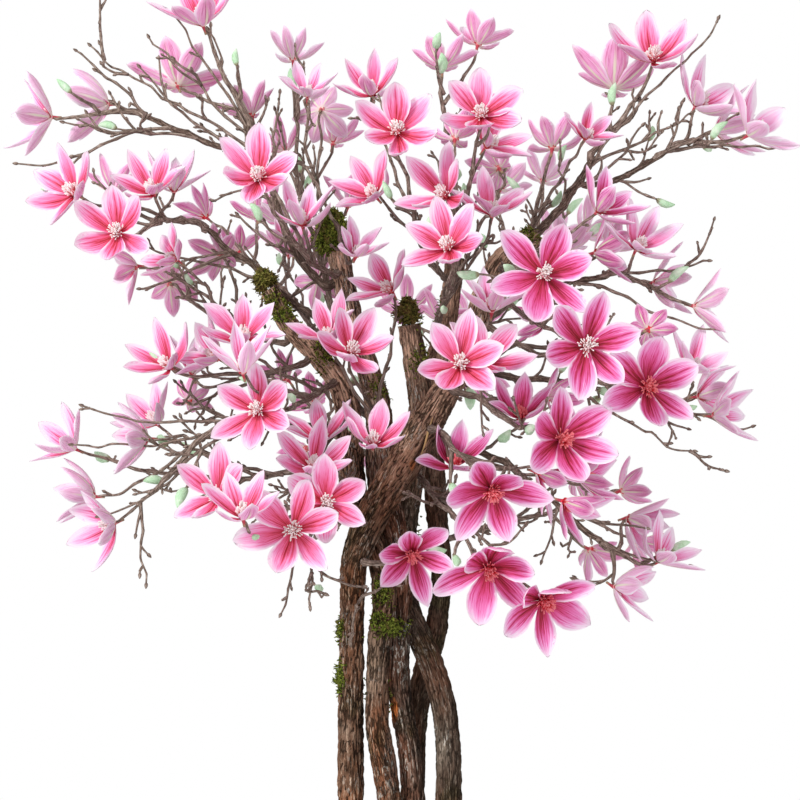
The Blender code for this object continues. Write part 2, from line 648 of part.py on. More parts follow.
def budded_twig(path, radii, way, roll):
    # The last rings swell into a pointed bud
    tip = path[-1]
    path = path + [tip + way * BUD_LENGTH * BUD_WAIST, tip + way * BUD_LENGTH]
    radii = list(radii) + [BUD_WIDTH, BUD_POINT]
    points, faces, _ = sweep(path, radii, TWIG_SIDES, None, way, roll)
    return points, faces


# Sprays: first every stem with its own blooms, then the twigs that follow by rule
def grow_leads(name, source, leads):
    spray = {"stem": None, "pieces": [], "path": None}
    for number, (place, facing, openness) in enumerate(leads):
        grow_lead(name, spray, number, source, Vector(place), facing_way(facing), openness)
    return spray


def grow_lead(name, spray, number, source, goal, way, openness):
    for route in range(ROUTES):
        seed = f"{name} {number} {route}"
        roll = random.Random(seed).uniform(0, math.tau / TEPALS)
        if number == 0:
            path, normal = rooted_path(source, goal, way, 0.0, route, STEM_STEP, TWIG_WANDER,
                                       seed)
            radii = np.linspace(MAIN_RADIUS, TIP_RADIUS, len(path))
            own = ()
        else:
            path = forked_path(spray, goal, way, route, seed)
            radii = twig_radii(path)
            normal = None
            own = (f"{name} stem",)
        thick = thicker(radii)
        head = bloomed_twig(path[-2:], thick[-2:], way, openness, roll)
        grown = bloomed_twig(path, thick, way, openness, roll, normal)
        if bends_clear(head, path, radii) and is_clear(*grown, own) and is_clear(*head):
            break
    else:
        return
    whole = bloomed_twig(path, radii, way, openness, roll, normal)
    if number == 0:
        spray["path"] = path
        spray["stem"] = whole
        taken.append((f"{name} stem", tree_of(*whole)))
    else:
        spray["pieces"].append(whole)
        taken.append((f"{name} twig {number}", tree_of(*whole)))


def forked_path(spray, goal, way, route, seed):
    stem = spray["path"]
    share = LEAD_SHARE + LEAD_STEP * (route % LEAD_PLACES)
    base, along = place_on(stem, share)
    toward = (goal - base).normalized()
    start_way = (toward + along * LEAD_ALONG).normalized()
    return arching_path(base, start_way, goal, way, TWIG_STEP, TWIG_WANDER, seed)


def place_on(path, share):
    mark = share * (len(path) - 1)
    low = min(int(mark), len(path) - 2)
    along = (path[low + 1] - path[low]).normalized()
    return path[low].lerp(path[low + 1], mark - low), along


def follow_up(name, spray, slot, slots, has_bloom):
    for attempt in range(TRIES):
        seed = f"{name} follow {slot} {attempt}"
        rng = random.Random(seed)
        share = SHARE_LOW + SHARE_SPAN * (slot + rng.random()) / slots
        base, along = place_on(spray["path"], share)
        level = along.cross(UP).normalized()
        upright = level.cross(along)
        turn = GOLDEN_ANGLE * (slot + attempt) + rng.uniform(-TURN_CHANCE, TURN_CHANCE)
        fork = rng.uniform(FORK_LOW, FORK_HIGH)
        aside = math.cos(turn) * level + math.sin(turn) * upright
        start_way = (math.cos(fork) * along + math.sin(fork) * aside).normalized()
        outward = (base - CROWN_CENTRE).normalized()
        chance = Vector([rng.uniform(-FACING_CHANCE, FACING_CHANCE) for _ in range(3)])
        way = (start_way * FACING_ALONG + outward * FACING_OUT + UP * FACING_UP
               + chance).normalized()
        openness = rng.uniform(OPEN_LOW, OPEN_HIGH)
        roll = rng.uniform(0, math.tau / TEPALS)
        low, high = (TWIG_LOW, TWIG_HIGH) if has_bloom else (BUD_TWIG_LOW, BUD_TWIG_HIGH)
        goal = base + (start_way + way * REACH_TURN).normalized() * rng.uniform(low, high)
        path = arching_path(base, start_way, goal, way, TWIG_STEP, TWIG_WANDER, seed)
        radii = twig_radii(path)
        thick = thicker(radii)
        if has_bloom:
            whole = bloomed_twig(path, radii, way, openness, roll)
            grown = bloomed_twig(path, thick, way, openness, roll)
            head = bloomed_twig(path[-2:], thick[-2:], way, openness, roll)
        else:
            whole = budded_twig(path, radii, way, roll)
            grown = budded_twig(path, thick, way, roll)
            head = budded_twig(path[-2:], thick[-2:], way, roll)
        fits = stays_in_crown(head[0]) and bends_clear(head, path, radii)
        if fits and is_clear(*grown, (f"{name} stem",)) and is_clear(*head):
            spray["pieces"].append(whole)
            taken.append((f"{name} twig", tree_of(*whole)))
            return


def stays_in_crown(points):
    for point in points:
        if abs(point.x) > CROWN_REACH or abs(point.y) > CROWN_DEPTH:
            return False
        if point.z > PLANT_TOP or point.z < CROWN_FOOT:
            return False
    return True


def back_sprays():
    # A spiral of sprays up the hidden side, each leaving the trunk at its own height
    rows = {}
    for number in range(BACK_SPRAYS):
        level = (number + 0.5) / BACK_SPRAYS
        turn = math.radians(BACK_FIRST + (number * BACK_TURN) % BACK_ARC)
        height = BACK_FOOT + BACK_RISE * level
        reach = BACK_REACH * math.sin(math.pi * (BACK_LOW + BACK_SPAN * level))
        tip = (math.sin(turn) * reach, -math.cos(turn) * reach, height)
        root = (BACK_ROOT_REACH * math.sin(turn), BACK_ROOT_REACH,
                min(height - BACK_ROOT_DROP, BACK_ROOT_TOP))
        facing = (math.degrees(turn), BACK_FACING + BACK_FACING_SPAN * level)
        rows[f"spray_back_{number + 1}"] = (root, [(tip, facing, BACK_OPEN)], BACK_BLOOMS - 1)
    return rows


def fuse(name, spray):
    # One union of the stem with everything on it, of which the largest body is kept
    base = add_object(name, *spray["stem"], bloom_finish)
    helpers = bpy.data.collections.new(f"{name} pieces")
    bpy.context.scene.collection.children.link(helpers)
    for number, (points, faces) in enumerate(spray["pieces"]):
        piece = bpy.data.meshes.new(f"{name} piece {number}")
        piece.from_pydata([tuple(point) for point in points], [], faces)
        helpers.objects.link(bpy.data.objects.new(piece.name, piece))
    union = base.modifiers.new("fuse", "BOOLEAN")
    union.operation = "UNION"
    union.operand_type = "COLLECTION"
    union.collection = helpers
    for solver in ("EXACT", "MANIFOLD"):
        union.solver = solver
        bpy.context.view_layer.update()
        graph = bpy.context.evaluated_depsgraph_get()
        fused = bpy.data.meshes.new_from_object(base.evaluated_get(graph), depsgraph=graph)
        if tidy_body(fused):
            break
    base.modifiers.remove(union)
    base.data = fused
    base.data.name = name
    base.data.materials.clear()
    base.data.materials.append(material(name, *bloom_finish))
    for piece in list(helpers.objects):
        bpy.data.objects.remove(piece, do_unlink=True)
    bpy.data.collections.remove(helpers)


def tidy_body(mesh):
    # Keeps the largest body, and tells whether each of its edges joins two faces
    shell = bmesh.new()
    shell.from_mesh(mesh)
    bmesh.ops.dissolve_degenerate(shell, edges=shell.edges, dist=WELD)
    bmesh.ops.triangulate(shell, faces=shell.faces)
    bodies = bodies_of(shell)
    scraps = [face for body in bodies[1:] for face in body]
    bmesh.ops.delete(shell, geom=scraps, context="FACES")
    loose = [corner for corner in shell.verts if not corner.link_faces]
    bmesh.ops.delete(shell, geom=loose, context="VERTS")
    closed = all(len(edge.link_faces) == 2 for edge in shell.edges)
    shell.to_mesh(mesh)
    shell.free()
    return closed and len(scraps) < SCRAP_FACES


def bodies_of(shell):
    unseen = set(shell.faces)
    bodies = []
    while unseen:
        waiting = [unseen.pop()]
        body = []
        while waiting:
            face = waiting.pop()
            body.append(face)
            near = {other for edge in face.edges for other in edge.link_faces} & unseen
            unseen -= near
            waiting.extend(near)
        bodies.append(body)
    return sorted(bodies, key=len, reverse=True)


def build_sprays():
    rows = dict(SPRAYS)
    rows.update(back_sprays())
    sprays = {name: grow_leads(name, source, leads) for name, (source, leads, _) in rows.items()}
    for name, (_, _, more) in rows.items():
        for slot in range(more + 1):
            follow_up(name, sprays[name], slot, more + 1, slot < more)
    for name, spray in sprays.items():
        fuse(name, spray)


build_pot()
build_soil()
build_stems()
build_moss()
build_boughs()
build_sprays()
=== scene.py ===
# Looks of the artificial magnolia tree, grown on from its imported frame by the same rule.
# Metres, +Z up; the crown's fuller face looks toward -Y.
import itertools
import math
import random

import bpy
import numpy as np
from mathutils import Matrix, Vector
from mathutils.bvhtree import BVHTree


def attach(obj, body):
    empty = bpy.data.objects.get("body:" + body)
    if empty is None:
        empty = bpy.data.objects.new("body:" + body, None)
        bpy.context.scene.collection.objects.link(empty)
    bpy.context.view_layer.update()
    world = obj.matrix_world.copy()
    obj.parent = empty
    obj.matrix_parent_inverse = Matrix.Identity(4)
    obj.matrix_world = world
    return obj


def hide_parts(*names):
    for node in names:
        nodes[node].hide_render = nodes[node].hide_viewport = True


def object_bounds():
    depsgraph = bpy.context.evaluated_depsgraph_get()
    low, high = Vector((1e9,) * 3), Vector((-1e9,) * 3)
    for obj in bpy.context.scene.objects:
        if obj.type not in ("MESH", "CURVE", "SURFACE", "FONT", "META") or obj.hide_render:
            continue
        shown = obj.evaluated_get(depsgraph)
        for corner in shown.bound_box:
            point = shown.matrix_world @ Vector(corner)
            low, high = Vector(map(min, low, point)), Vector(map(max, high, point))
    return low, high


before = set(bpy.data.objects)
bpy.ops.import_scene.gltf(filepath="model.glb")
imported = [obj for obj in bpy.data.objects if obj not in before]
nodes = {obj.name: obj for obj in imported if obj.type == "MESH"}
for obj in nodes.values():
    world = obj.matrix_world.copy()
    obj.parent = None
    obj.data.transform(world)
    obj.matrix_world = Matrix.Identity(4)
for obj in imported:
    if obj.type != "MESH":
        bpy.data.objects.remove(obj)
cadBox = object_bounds()
graph = bpy.context.evaluated_depsgraph_get()
skins = {name: BVHTree.FromObject(node, graph) for name, node in nodes.items()}
up = Vector((0, 0, 1))
print("frame loaded,", len(nodes), "nodes")

seeds = {  # of each kind of random draw or noise
    "drift": 7, "crack": 20, "crumb": 40, "flake": 60, "broad": 80, "knot": 90, "spare": 57,
    "tepals": 100, "variants": 200, "hearts": 31, "buds": 57, "moss": 91, "ragged": 330,
    "heap": 340,
}

# Growth rule
growth = {
    "gap": 0.0003, "ground": 0.235, "stub": 0.011, "search": 0.16, "levelling": 0.25,
    "axisPlaces": 150, "axisLow": 0.03, "axisHigh": 0.97, "routeArch": 0.012, "archPull": 10,
    "routeGaps": 3, "routes": 14, "tries": 10, "pullOut": 0.9, "pullIn": 0.7,
    "boughStep": 0.045, "boughWander": 0.014, "stemStep": 0.06, "twigStep": 0.045,
    "twigWander": 0.018, "golden": math.radians(137.5), "shareLow": 0.38, "shareSpan": 0.52,
    "forkLow": math.radians(32), "forkHigh": math.radians(62), "bloomTwig": (0.075, 0.14),
    "budTwig": (0.03, 0.06), "turnChance": 0.5, "along": 0.45, "out": 0.75, "up": 0.35,
    "chance": 0.35, "reachTurn": 0.5, "openLow": 0.35, "openHigh": 0.8,
    "leadShare": 0.3, "leadStep": 0.05, "leadPlaces": 8, "leadAlong": 0.5,
    "centre": Vector((0.0, 0.0, 1.1)), "budLength": 0.032, "onSkin": 0.0003,
}
stemShape = {
    "rings": 21, "ridge": 0.05, "ridges": 3, "turns": 1.3, "flare": 0.3, "flareHeight": 0.035,
    "crossing": 1.0, "spread": 0.1, "rounds": 400, "places": 81, "step": (0.09, 0.25, 0.0),
    "clearance": 0.0012, "detail": 24, "sideLimit": 0.8,
}
stemRows = {  # radius at the foot and top, swell at the crossing, places
    "stem_left": (0.0185, 0.015, 0.48, [
        (-0.06, -0.012, 0.235), (-0.064, -0.016, 0.56), (-0.06, -0.03, 0.84),
        (-0.036, -0.05, 0.925), (0.034, -0.048, 1.045), (0.104, -0.032, 1.175),
        (0.125, -0.02, 1.255), (0.185, -0.01, 1.309)]),
    "stem_centre_left": (0.0175, 0.0135, 0.22, [
        (-0.018, -0.028, 0.235), (-0.01, -0.028, 0.52), (-0.03, -0.022, 0.68),
        (-0.013, -0.01, 0.846), (-0.06, 0.0, 0.965), (-0.072, 0.0, 1.095),
        (-0.146, -0.01, 1.187), (-0.173, -0.012, 1.235)]),
    "stem_centre": (0.0165, 0.0145, 0.3, [
        (0.014, 0.0, 0.235), (0.02, 0.0, 0.56), (0.001, -0.002, 0.7),
        (0.0, -0.002, 0.83), (-0.018, 0.008, 0.978), (-0.03, 0.012, 1.095),
        (-0.06, 0.01, 1.19), (-0.082, 0.005, 1.288)]),
    "stem_right": (0.018, 0.0155, 0.25, [
        (0.06, -0.022, 0.235), (0.066, -0.02, 0.6), (0.05, -0.012, 0.715),
        (0.01, 0.034, 0.81), (0.012, 0.03, 0.95), (0.032, 0.0, 1.06),
        (0.024, -0.008, 1.13), (0.015, -0.012, 1.187)]),
    "stem_back": (0.017, 0.0125, 0.2, [
        (0.03, 0.048, 0.235), (0.022, 0.048, 0.62), (0.05, 0.045, 0.77),
        (0.06, 0.04, 0.86), (0.046, 0.04, 0.98), (0.046, 0.035, 1.1),
        (0.066, 0.03, 1.19), (0.078, 0.025, 1.28)]),
}
boughRows = {  # where it leaves, its tip, arch, radius at the root and tip
    "bough_upper_left": ((-0.076, 0.006, 1.235), (-0.2, 0.0, 1.455), 0.01, 0.0068, 0.0052),
    "bough_far_left": (("bough_upper_left", 0.86), (-0.345, 0.015, 1.472), 0.025, 0.005, 0.004),
    "bough_left": ((-0.06, 0.01, 1.19), (-0.262, 0.03, 1.32), 0.01, 0.0062, 0.0045),
    "bough_low_left": ((-0.068, 0.0, 1.045), (-0.222, -0.05, 1.052), 0.012, 0.0062, 0.0045),
    "bough_upper_right": ("stem_left", (0.262, 0.0, 1.412), -0.01, 0.0072, 0.0052),
    "bough_far_right": (("bough_upper_right", 0.7), (0.372, 0.025, 1.428), -0.02, 0.005, 0.004),
    "bough_right": ((0.122, -0.022, 1.24), (0.285, 0.03, 1.256), 0.004, 0.0058, 0.0042),
    "bough_mid_right": ((0.085, -0.038, 1.125), (0.272, 0.005, 1.112), -0.01, 0.006, 0.0044),
    "bough_low_right": ((0.046, 0.036, 1.03), (0.276, -0.01, 0.892), 0.022, 0.006, 0.0044),
    "bough_top": ("stem_back", (0.068, 0.035, 1.43), 0.0, 0.007, 0.005),
    "bough_back_left": ((-0.02, 0.01, 1.06), (-0.15, 0.21, 1.23), 0.02, 0.0062, 0.0045),
    "bough_back_right": ((0.046, 0.035, 1.08), (0.15, 0.225, 1.25), 0.02, 0.0062, 0.0045),
}
sprayRows = {  # where it leaves, blooms (place, degrees right and up, openness), how many follow
    "spray_top_left": ("bough_upper_left", [
        (-0.26, -0.035, 1.585, -25, 60, 0.62), (-0.3, 0.03, 1.513, 175, 50, 0.7)], 0),
    "spray_far_left": ("bough_far_left", [
        (-0.469, 0.02, 1.47, -82, 5, 0.6), (-0.396, 0.055, 1.492, -100, 0, 0.65)], 0),
    "spray_left": ("bough_left", [
        (-0.36, -0.15, 1.3, -8, 18, 0.85), (-0.422, -0.09, 1.356, -40, 25, 0.75),
        (-0.323, -0.06, 1.358, -20, 45, 0.65), (-0.387, 0.03, 1.368, 170, 65, 0.5),
        (-0.304, 0.015, 1.367, 10, 75, 0.4)], 0),
    "spray_low_left": ("bough_low_left", [
        (-0.375, -0.05, 0.923, -60, -5, 0.65), (-0.409, 0.01, 0.955, -85, 10, 0.5)], 0),
    "spray_upper_right": ("bough_upper_right", [
        (0.344, 0.0, 1.541, 5, 55, 0.75), (0.295, 0.04, 1.511, 178, 62, 0.75)], 0),
    "spray_far_right": ("bough_far_right", [
        (0.467, -0.035, 1.439, 62, 40, 0.65), (0.403, 0.02, 1.483, 60, 45, 0.6),
        (0.437, 0.08, 1.457, 75, 15, 0.45)], 0),
    "spray_right": ("bough_right", [
        (0.398, 0.0, 1.213, 82, -3, 0.5), (0.316, -0.05, 1.285, 35, 45, 0.65),
        (0.349, 0.055, 1.247, 85, -3, 0.6)], 0),
    "spray_mid_right": ("bough_mid_right", [
        (0.421, -0.02, 1.065, 72, 15, 0.5), (0.409, 0.045, 1.09, 75, 10, 0.5),
        (0.391, -0.03, 1.123, 40, 50, 0.5)], 0),
    "spray_low_right": ("bough_low_right", [
        (0.35, 0.0, 0.867, 60, 50, 0.6), (0.288, -0.03, 0.836, 72, -3, 0.5),
        (0.31, 0.02, 0.926, 75, -12, 0.55)], 0),
    "spray_top": ("bough_top", [
        (0.06, 0.03, 1.537, 178, 65, 0.75), (0.102, 0.16, 1.504, 155, 35, 0.6)], 1),
    "spray_back_left": ("bough_back_left", [(-0.235, 0.315, 1.305, -150, 35, 0.6)], 3),
    "spray_back_right": ("bough_back_right", [(0.23, 0.33, 1.33, 150, 35, 0.6)], 3),
    "spray_high_left": ((-0.06, 0.01, 1.175), [
        (-0.145, 0.08, 1.555, 175, 72, 0.6), (-0.106, 0.06, 1.485, 172, -5, 0.75),
        (-0.122, 0.0, 1.494, 15, 55, 0.5), (-0.055, -0.105, 1.273, 15, 50, 0.5)], 0),
    "spray_high_right": ((0.15, -0.015, 1.285), [
        (0.21, 0.03, 1.428, 176, 60, 0.75), (0.249, -0.04, 1.433, 35, 45, 0.6)], 0),
    "spray_left_back": ((-0.12, 0.0, 1.18), [
        (-0.314, 0.06, 1.246, 178, 0, 0.75), (-0.35, -0.01, 1.266, -85, -5, 0.6),
        (-0.241, 0.04, 1.283, -150, 10, 0.6), (-0.11, 0.06, 1.25, 175, 15, 0.6)], 1),
    "spray_front_high_left": ((-0.08, 0.005, 1.262), [
        (-0.176, -0.2, 1.366, -3, 26, 0.8), (-0.199, 0.03, 1.472, -140, 60, 0.5),
        (-0.126, -0.06, 1.316, -10, 60, 0.45), (-0.153, 0.12, 1.286, 5, 72, 0.5)], 0),
    "spray_front_high": ((0.074, 0.026, 1.25), [
        (-0.001, -0.215, 1.422, -5, 28, 0.85), (-0.035, 0.0, 1.496, -5, 50, 0.5),
        (-0.029, -0.08, 1.353, -35, 35, 0.6)], 0),
    "spray_front_top": ((0.077, 0.025, 1.262), [
        (0.107, -0.15, 1.45, -3, 28, 0.85), (0.117, -0.02, 1.424, 55, 35, 0.55),
        (0.076, -0.03, 1.434, 175, 40, 0.6)], 0),
    "spray_front_upper": ((0.06, 0.03, 1.165), [
        (0.061, -0.2, 1.342, -35, 30, 0.65), (0.063, -0.27, 1.273, -18, 28, 0.75),
        (0.123, -0.095, 1.326, 10, 60, 0.6), (0.138, 0.04, 1.402, -150, 20, 0.75)], 0),
    "spray_front_right_high": ((0.13, -0.02, 1.262), [
        (0.178, -0.3, 1.239, 3, 8, 0.95), (0.264, -0.005, 1.284, 80, 10, 0.55),
        (0.197, -0.05, 1.191, -100, 0, 0.5), (0.261, -0.08, 1.332, 60, 40, 0.55)], 0),
    "spray_front_right": ((0.118, -0.024, 1.222), [(0.228, -0.33, 1.151, 6, 3, 0.95)], 0),
    "spray_front_far_right": ((0.106, -0.03, 1.18), [
        (0.309, -0.25, 1.102, 12, 5, 0.9), (0.332, -0.05, 1.179, 160, 10, 0.6)], 0),
    "spray_front_centre": ((0.09, -0.036, 1.145), [
        (0.107, -0.21, 1.134, 15, 45, 0.8), (0.076, -0.29, 1.129, 0, 18, 0.8),
        (0.12, -0.17, 1.198, 5, 75, 0.45)], 0),
    "spray_front_right_low": ((0.066, -0.042, 1.095), [
        (0.2, -0.28, 1.038, 22, 3, 0.9), (0.159, -0.12, 1.06, 0, 50, 0.5),
        (0.195, -0.08, 1.09, 110, 0, 0.6)], 0),
    "spray_front_low": ((0.036, -0.048, 1.05), [
        (0.116, -0.27, 0.975, 8, -18, 0.95), (0.073, -0.105, 0.997, 15, 55, 0.6),
        (0.178, -0.14, 0.993, 70, -20, 0.4), (0.238, -0.06, 0.983, 80, 5, 0.5)], 0),
    "spray_front_lowest": ((0.04, 0.0, 0.985), [
        (0.112, -0.255, 0.877, 5, -16, 0.9), (0.179, -0.25, 0.837, 25, -18, 0.9),
        (0.208, -0.195, 0.958, 65, -20, 0.55)], 0),
    "spray_trunk": ((-0.055, -0.033, 0.87), [(0.018, -0.135, 0.887, 8, -8, 0.8)], 0),
    "spray_front_middle": ((-0.018, -0.01, 1.08), [
        (-0.032, -0.15, 1.026, 5, 58, 0.6), (-0.062, -0.13, 1.147, 20, 30, 0.75),
        (-0.09, -0.06, 1.164, -20, 50, 0.5), (-0.007, -0.04, 1.229, -50, 35, 0.6)], 0),
    "spray_front_low_left": ((-0.036, -0.05, 0.925), [
        (-0.129, -0.28, 0.926, -3, 6, 0.9), (-0.09, -0.23, 0.957, 8, 10, 0.8),
        (-0.109, -0.155, 0.996, 10, 50, 0.65), (-0.101, -0.05, 1.029, -10, 65, 0.5)], 0),
    "spray_left_low": ((-0.055, -0.01, 0.95), [
        (-0.228, -0.19, 0.963, -25, 25, 0.75), (-0.188, -0.32, 0.941, 0, 60, 0.6)], 0),
    "spray_front_left": ((-0.08, 0.0, 1.11), [
        (-0.177, -0.2, 1.072, -8, 14, 0.85), (-0.201, -0.12, 1.163, 0, 50, 0.65),
        (-0.194, -0.23, 1.119, -5, 65, 0.35), (-0.237, -0.05, 1.14, -60, 30, 0.5)], 0),
    "spray_left_middle": ((-0.11, -0.005, 1.14), [
        (-0.3, -0.07, 1.128, -35, 35, 0.6), (-0.28, 0.025, 1.119, 0, 75, 0.35),
        (-0.287, 0.04, 1.083, 170, 20, 0.5)], 0),
    "spray_left_tip": ((-0.062, 0.0, 0.985), [
        (-0.439, 0.03, 1.019, -60, 35, 0.55), (-0.334, -0.02, 1.034, -85, 0, 0.6),
        (-0.331, 0.065, 1.052, -50, 45, 0.5)], 0),
}
backRule = {
    "sprays": 5, "foot": 0.9, "rise": 0.6, "reach": 0.355, "first": 104, "arc": 136,
    "blooms": 4, "open": 0.6, "turn": 97, "low": 0.3, "span": 0.5, "rootReach": 0.03,
    "rootDrop": 0.07, "rootTop": 1.17, "facing": 15, "facingSpan": 40,
}
flower = {"length": 0.067, "closed": 28, "span": 50, "bend": 30, "middle": 0.5, "tepals": 6}
woods = {}  # the grown path of each stem and bough


def smoothPath(places, count):  # Catmull-Rom curve through the places, read at equal lengths
    knots = np.array([places[0]] + list(places) + [places[-1]], dtype=float)
    knots[0] = 2 * knots[1] - knots[2]
    knots[-1] = 2 * knots[-2] - knots[-3]
    t = np.linspace(0.0, 1.0, stemShape["detail"], endpoint=False)[None, :, None]
    a, b, c, d = (knots[k:len(knots) - 3 + k, None] for k in range(4))
    dense = 0.5 * (2 * b + (c - a) * t + (2 * a - 5 * b + 4 * c - d) * t ** 2
                   + (3 * b - a - 3 * c + d) * t ** 3)
    return evenPath(np.concatenate([dense.reshape(-1, 3), knots[-2:-1]]), count)


def readAt(marks, knots, rows):  # rows of three, read between their knots at the marks
    return np.stack([np.interp(marks, knots, rows[:, axis]) for axis in range(3)], axis=1)


def evenPath(path, count):  # the same line with count points at equal lengths
    lengths = np.concatenate([[0.0], np.cumsum(np.linalg.norm(np.diff(path, axis=0), axis=1))])
    return readAt(np.linspace(0.0, lengths[-1], count), lengths, path)


def archingPath(start, startWay, end, endWay, step, wander, seed):
    # Hermite curve from start to end, each inner place moved a little at random
    rng = random.Random(seed)
    start, end = Vector(start), Vector(end)
    span = (end - start).length
    count = max(4, 2 + round(span / step))
    pullOut, pullIn = startWay * span * growth["pullOut"], endWay * span * growth["pullIn"]
    path = []
    for index in range(count):
        t = index / (count - 1)
        place = ((2 * t ** 3 - 3 * t ** 2 + 1) * start + (t ** 3 - 2 * t ** 2 + t) * pullOut
                 + (3 * t ** 2 - 2 * t ** 3) * end + (t ** 3 - t ** 2) * pullIn)
        sway = Vector([rng.uniform(-1, 1) for _ in range(3)]) * wander * span
        path.append(place + sway if 0 < index < count - 1 else place)
    return path


def ringSides(path, firstWay=None, lastWay=None, roll=0.0):
    # Way and side of each ring, the side carried along the path without twisting
    ways = [Vector(way).normalized() for way in np.gradient(np.array(path), axis=0)]
    ways[0] = Vector(firstWay) if firstWay is not None else ways[0]
    ways[-1] = Vector(lastWay) if lastWay is not None else ways[-1]
    level = abs(ways[0].y) < stemShape["sideLimit"]
    aside = Vector((0, 1, 0)) if level else Vector((1, 0, 0))
    side = Matrix.Rotation(roll, 3, ways[0]) @ ways[0].cross(aside)
    sides = []
    for way in ways:
        side = (side - way * side.dot(way)).normalized()
        sides.append(side)
    return ways, sides


def placeOn(path, share):  # the place at a share of the path's points, and its way there
    mark = share * (len(path) - 1)
    low = min(int(mark), len(path) - 2)
    along = (path[low + 1] - path[low]).normalized()
    return path[low].lerp(path[low + 1], mark - low), along


def onSkin(name, places):  # whether all the places lie on a CAD node's surface
    return all(skins[name].find_nearest(place)[3] < growth["onSkin"] for place in places)


def settleStems():  # pushes stems apart where they would overlap
    shape = stemShape
    paths, radii = {}, {}
    for name, (foot, top, swell, places) in stemRows.items():
        path = smoothPath(places, shape["rings"])
        thick = np.linspace(foot, top, shape["rings"])
        thick *= 1 + swell * np.exp(-((path[:, 2] - shape["crossing"]) / shape["spread"]) ** 2)
        thick *= 1 + shape["flare"] * np.exp(-(path[:, 2] - growth["ground"]) / shape["flareHeight"])
        paths[name], radii[name] = path, thick
    marks = np.linspace(0, shape["rings"] - 1, shape["places"])
    weights = np.clip(1 - abs(marks[:, None] - np.arange(shape["rings"])[None, :]), 0.0, None)
    sizes = {name: weights @ (thick * (1 + shape["ridge"])) for name, thick in radii.items()}
    for _ in range(shape["rounds"]):
        places = {name: weights @ paths[name] for name in paths}
        pushes = {name: np.zeros_like(places[name]) for name in paths}
        for one, other in itertools.combinations(paths, 2):
            apart = places[one][:, None, :] - places[other][None, :, :]
            distance = np.linalg.norm(apart, axis=2)
            wanted = sizes[one][:, None] + sizes[other][None, :] + shape["clearance"]
            short = np.clip(wanted - distance, 0.0, None)
            force = apart / distance[:, :, None] * short[:, :, None] * shape["step"]
            pushes[one] += force.sum(axis=1) / 2
            pushes[other] -= force.sum(axis=0) / 2
        for name in paths:
            paths[name] = paths[name] + weights.T @ pushes[name] / weights.sum(axis=0)[:, None]
    return paths, radii


def rootOf(source, goal):
    # Where a limb leaves: a wood's tip, a bough's side, or the first wood met toward a place inside
    if isinstance(source, str):
        path = woods[source]
        return path[-1], (path[-1] - path[-2]).normalized()
    if isinstance(source[0], str):
        carriers = [source[0]]
        inside, _ = placeOn(woods[source[0]], source[1])
    else:
        carriers = list(stemRows)
        shares = np.linspace(growth["axisLow"], growth["axisHigh"], growth["axisPlaces"])
        axes = [placeOn(woods[name], share)[0] for name in stemRows for share in shares]
        inside = min(axes, key=lambda place: (place - Vector(source)).length)
    way = Vector(goal) - inside
    way.z *= growth["levelling"]
    way.normalize()
    outside = inside + way * growth["search"]
    hits = [skins[name].ray_cast(outside, -way, growth["search"]) for name in carriers]
    place, normal, _, _ = min((hit for hit in hits if hit[0] is not None), key=lambda hit: hit[3])
    return place, normal


def rootedPath(source, goal, goalWay, arch, route, step, wander, seed):
    # A gap off the skin, a stub straight out, then a bend; each route arches another way
    place, normal = rootOf(source, goal)
    toward = (Vector(goal) - place).normalized()
    lift = arch + growth["routeArch"] * route * (-1) ** route
    startWay = (toward + normal + up * lift * growth["archPull"]).normalized()
    stub = place + normal * growth["stub"]
    bend = archingPath(stub, startWay, goal, goalWay, step, wander, seed)
    return [place + normal * growth["gap"] * (1 + route % growth["routeGaps"])] + bend, normal


def facingWay(right, rise):  # from degrees to the right of the front, and up
    right, rise = math.radians(right), math.radians(rise)
    return Vector((math.sin(right) * math.cos(rise), -math.cos(right) * math.cos(rise),
                   math.sin(rise)))


def tepalTips(foot, way, side, openness):
    # foot + length (sin lean outward + cos lean way), the lean growing with openness
    across = way.cross(side)
    lean = math.radians(flower["closed"] + flower["span"] * openness
                        - flower["bend"] * openness * (1 - flower["middle"]))
    tips = []
    for tepal in range(flower["tepals"]):
        angle = math.tau * (tepal + 0.5) / flower["tepals"]
        outward = math.cos(angle) * side + math.sin(angle) * across
        tips.append(foot + (outward * math.sin(lean) + way * math.cos(lean)) * flower["length"])
    return tips


def growBough(name, source, tip, arch, rootRadius, tipRadius):  # the first route on the skin
    for route in range(growth["routes"]):
        place, _ = rootOf(source, tip)
        way = (Vector(tip) - place).normalized()
        path, normal = rootedPath(source, tip, way, arch, route, growth["boughStep"],
                                  growth["boughWander"], f"{name} {route}")
        _, sides = ringSides(path, normal)
        half = len(path) // 2
        radii = np.linspace(rootRadius, tipRadius, len(path))
        if onSkin(name, [path[half] + sides[half] * radii[half]]):
            return {"path": path, "radii": radii, "name": name}
    raise RuntimeError(f"{name} isn't where the rule grows it")


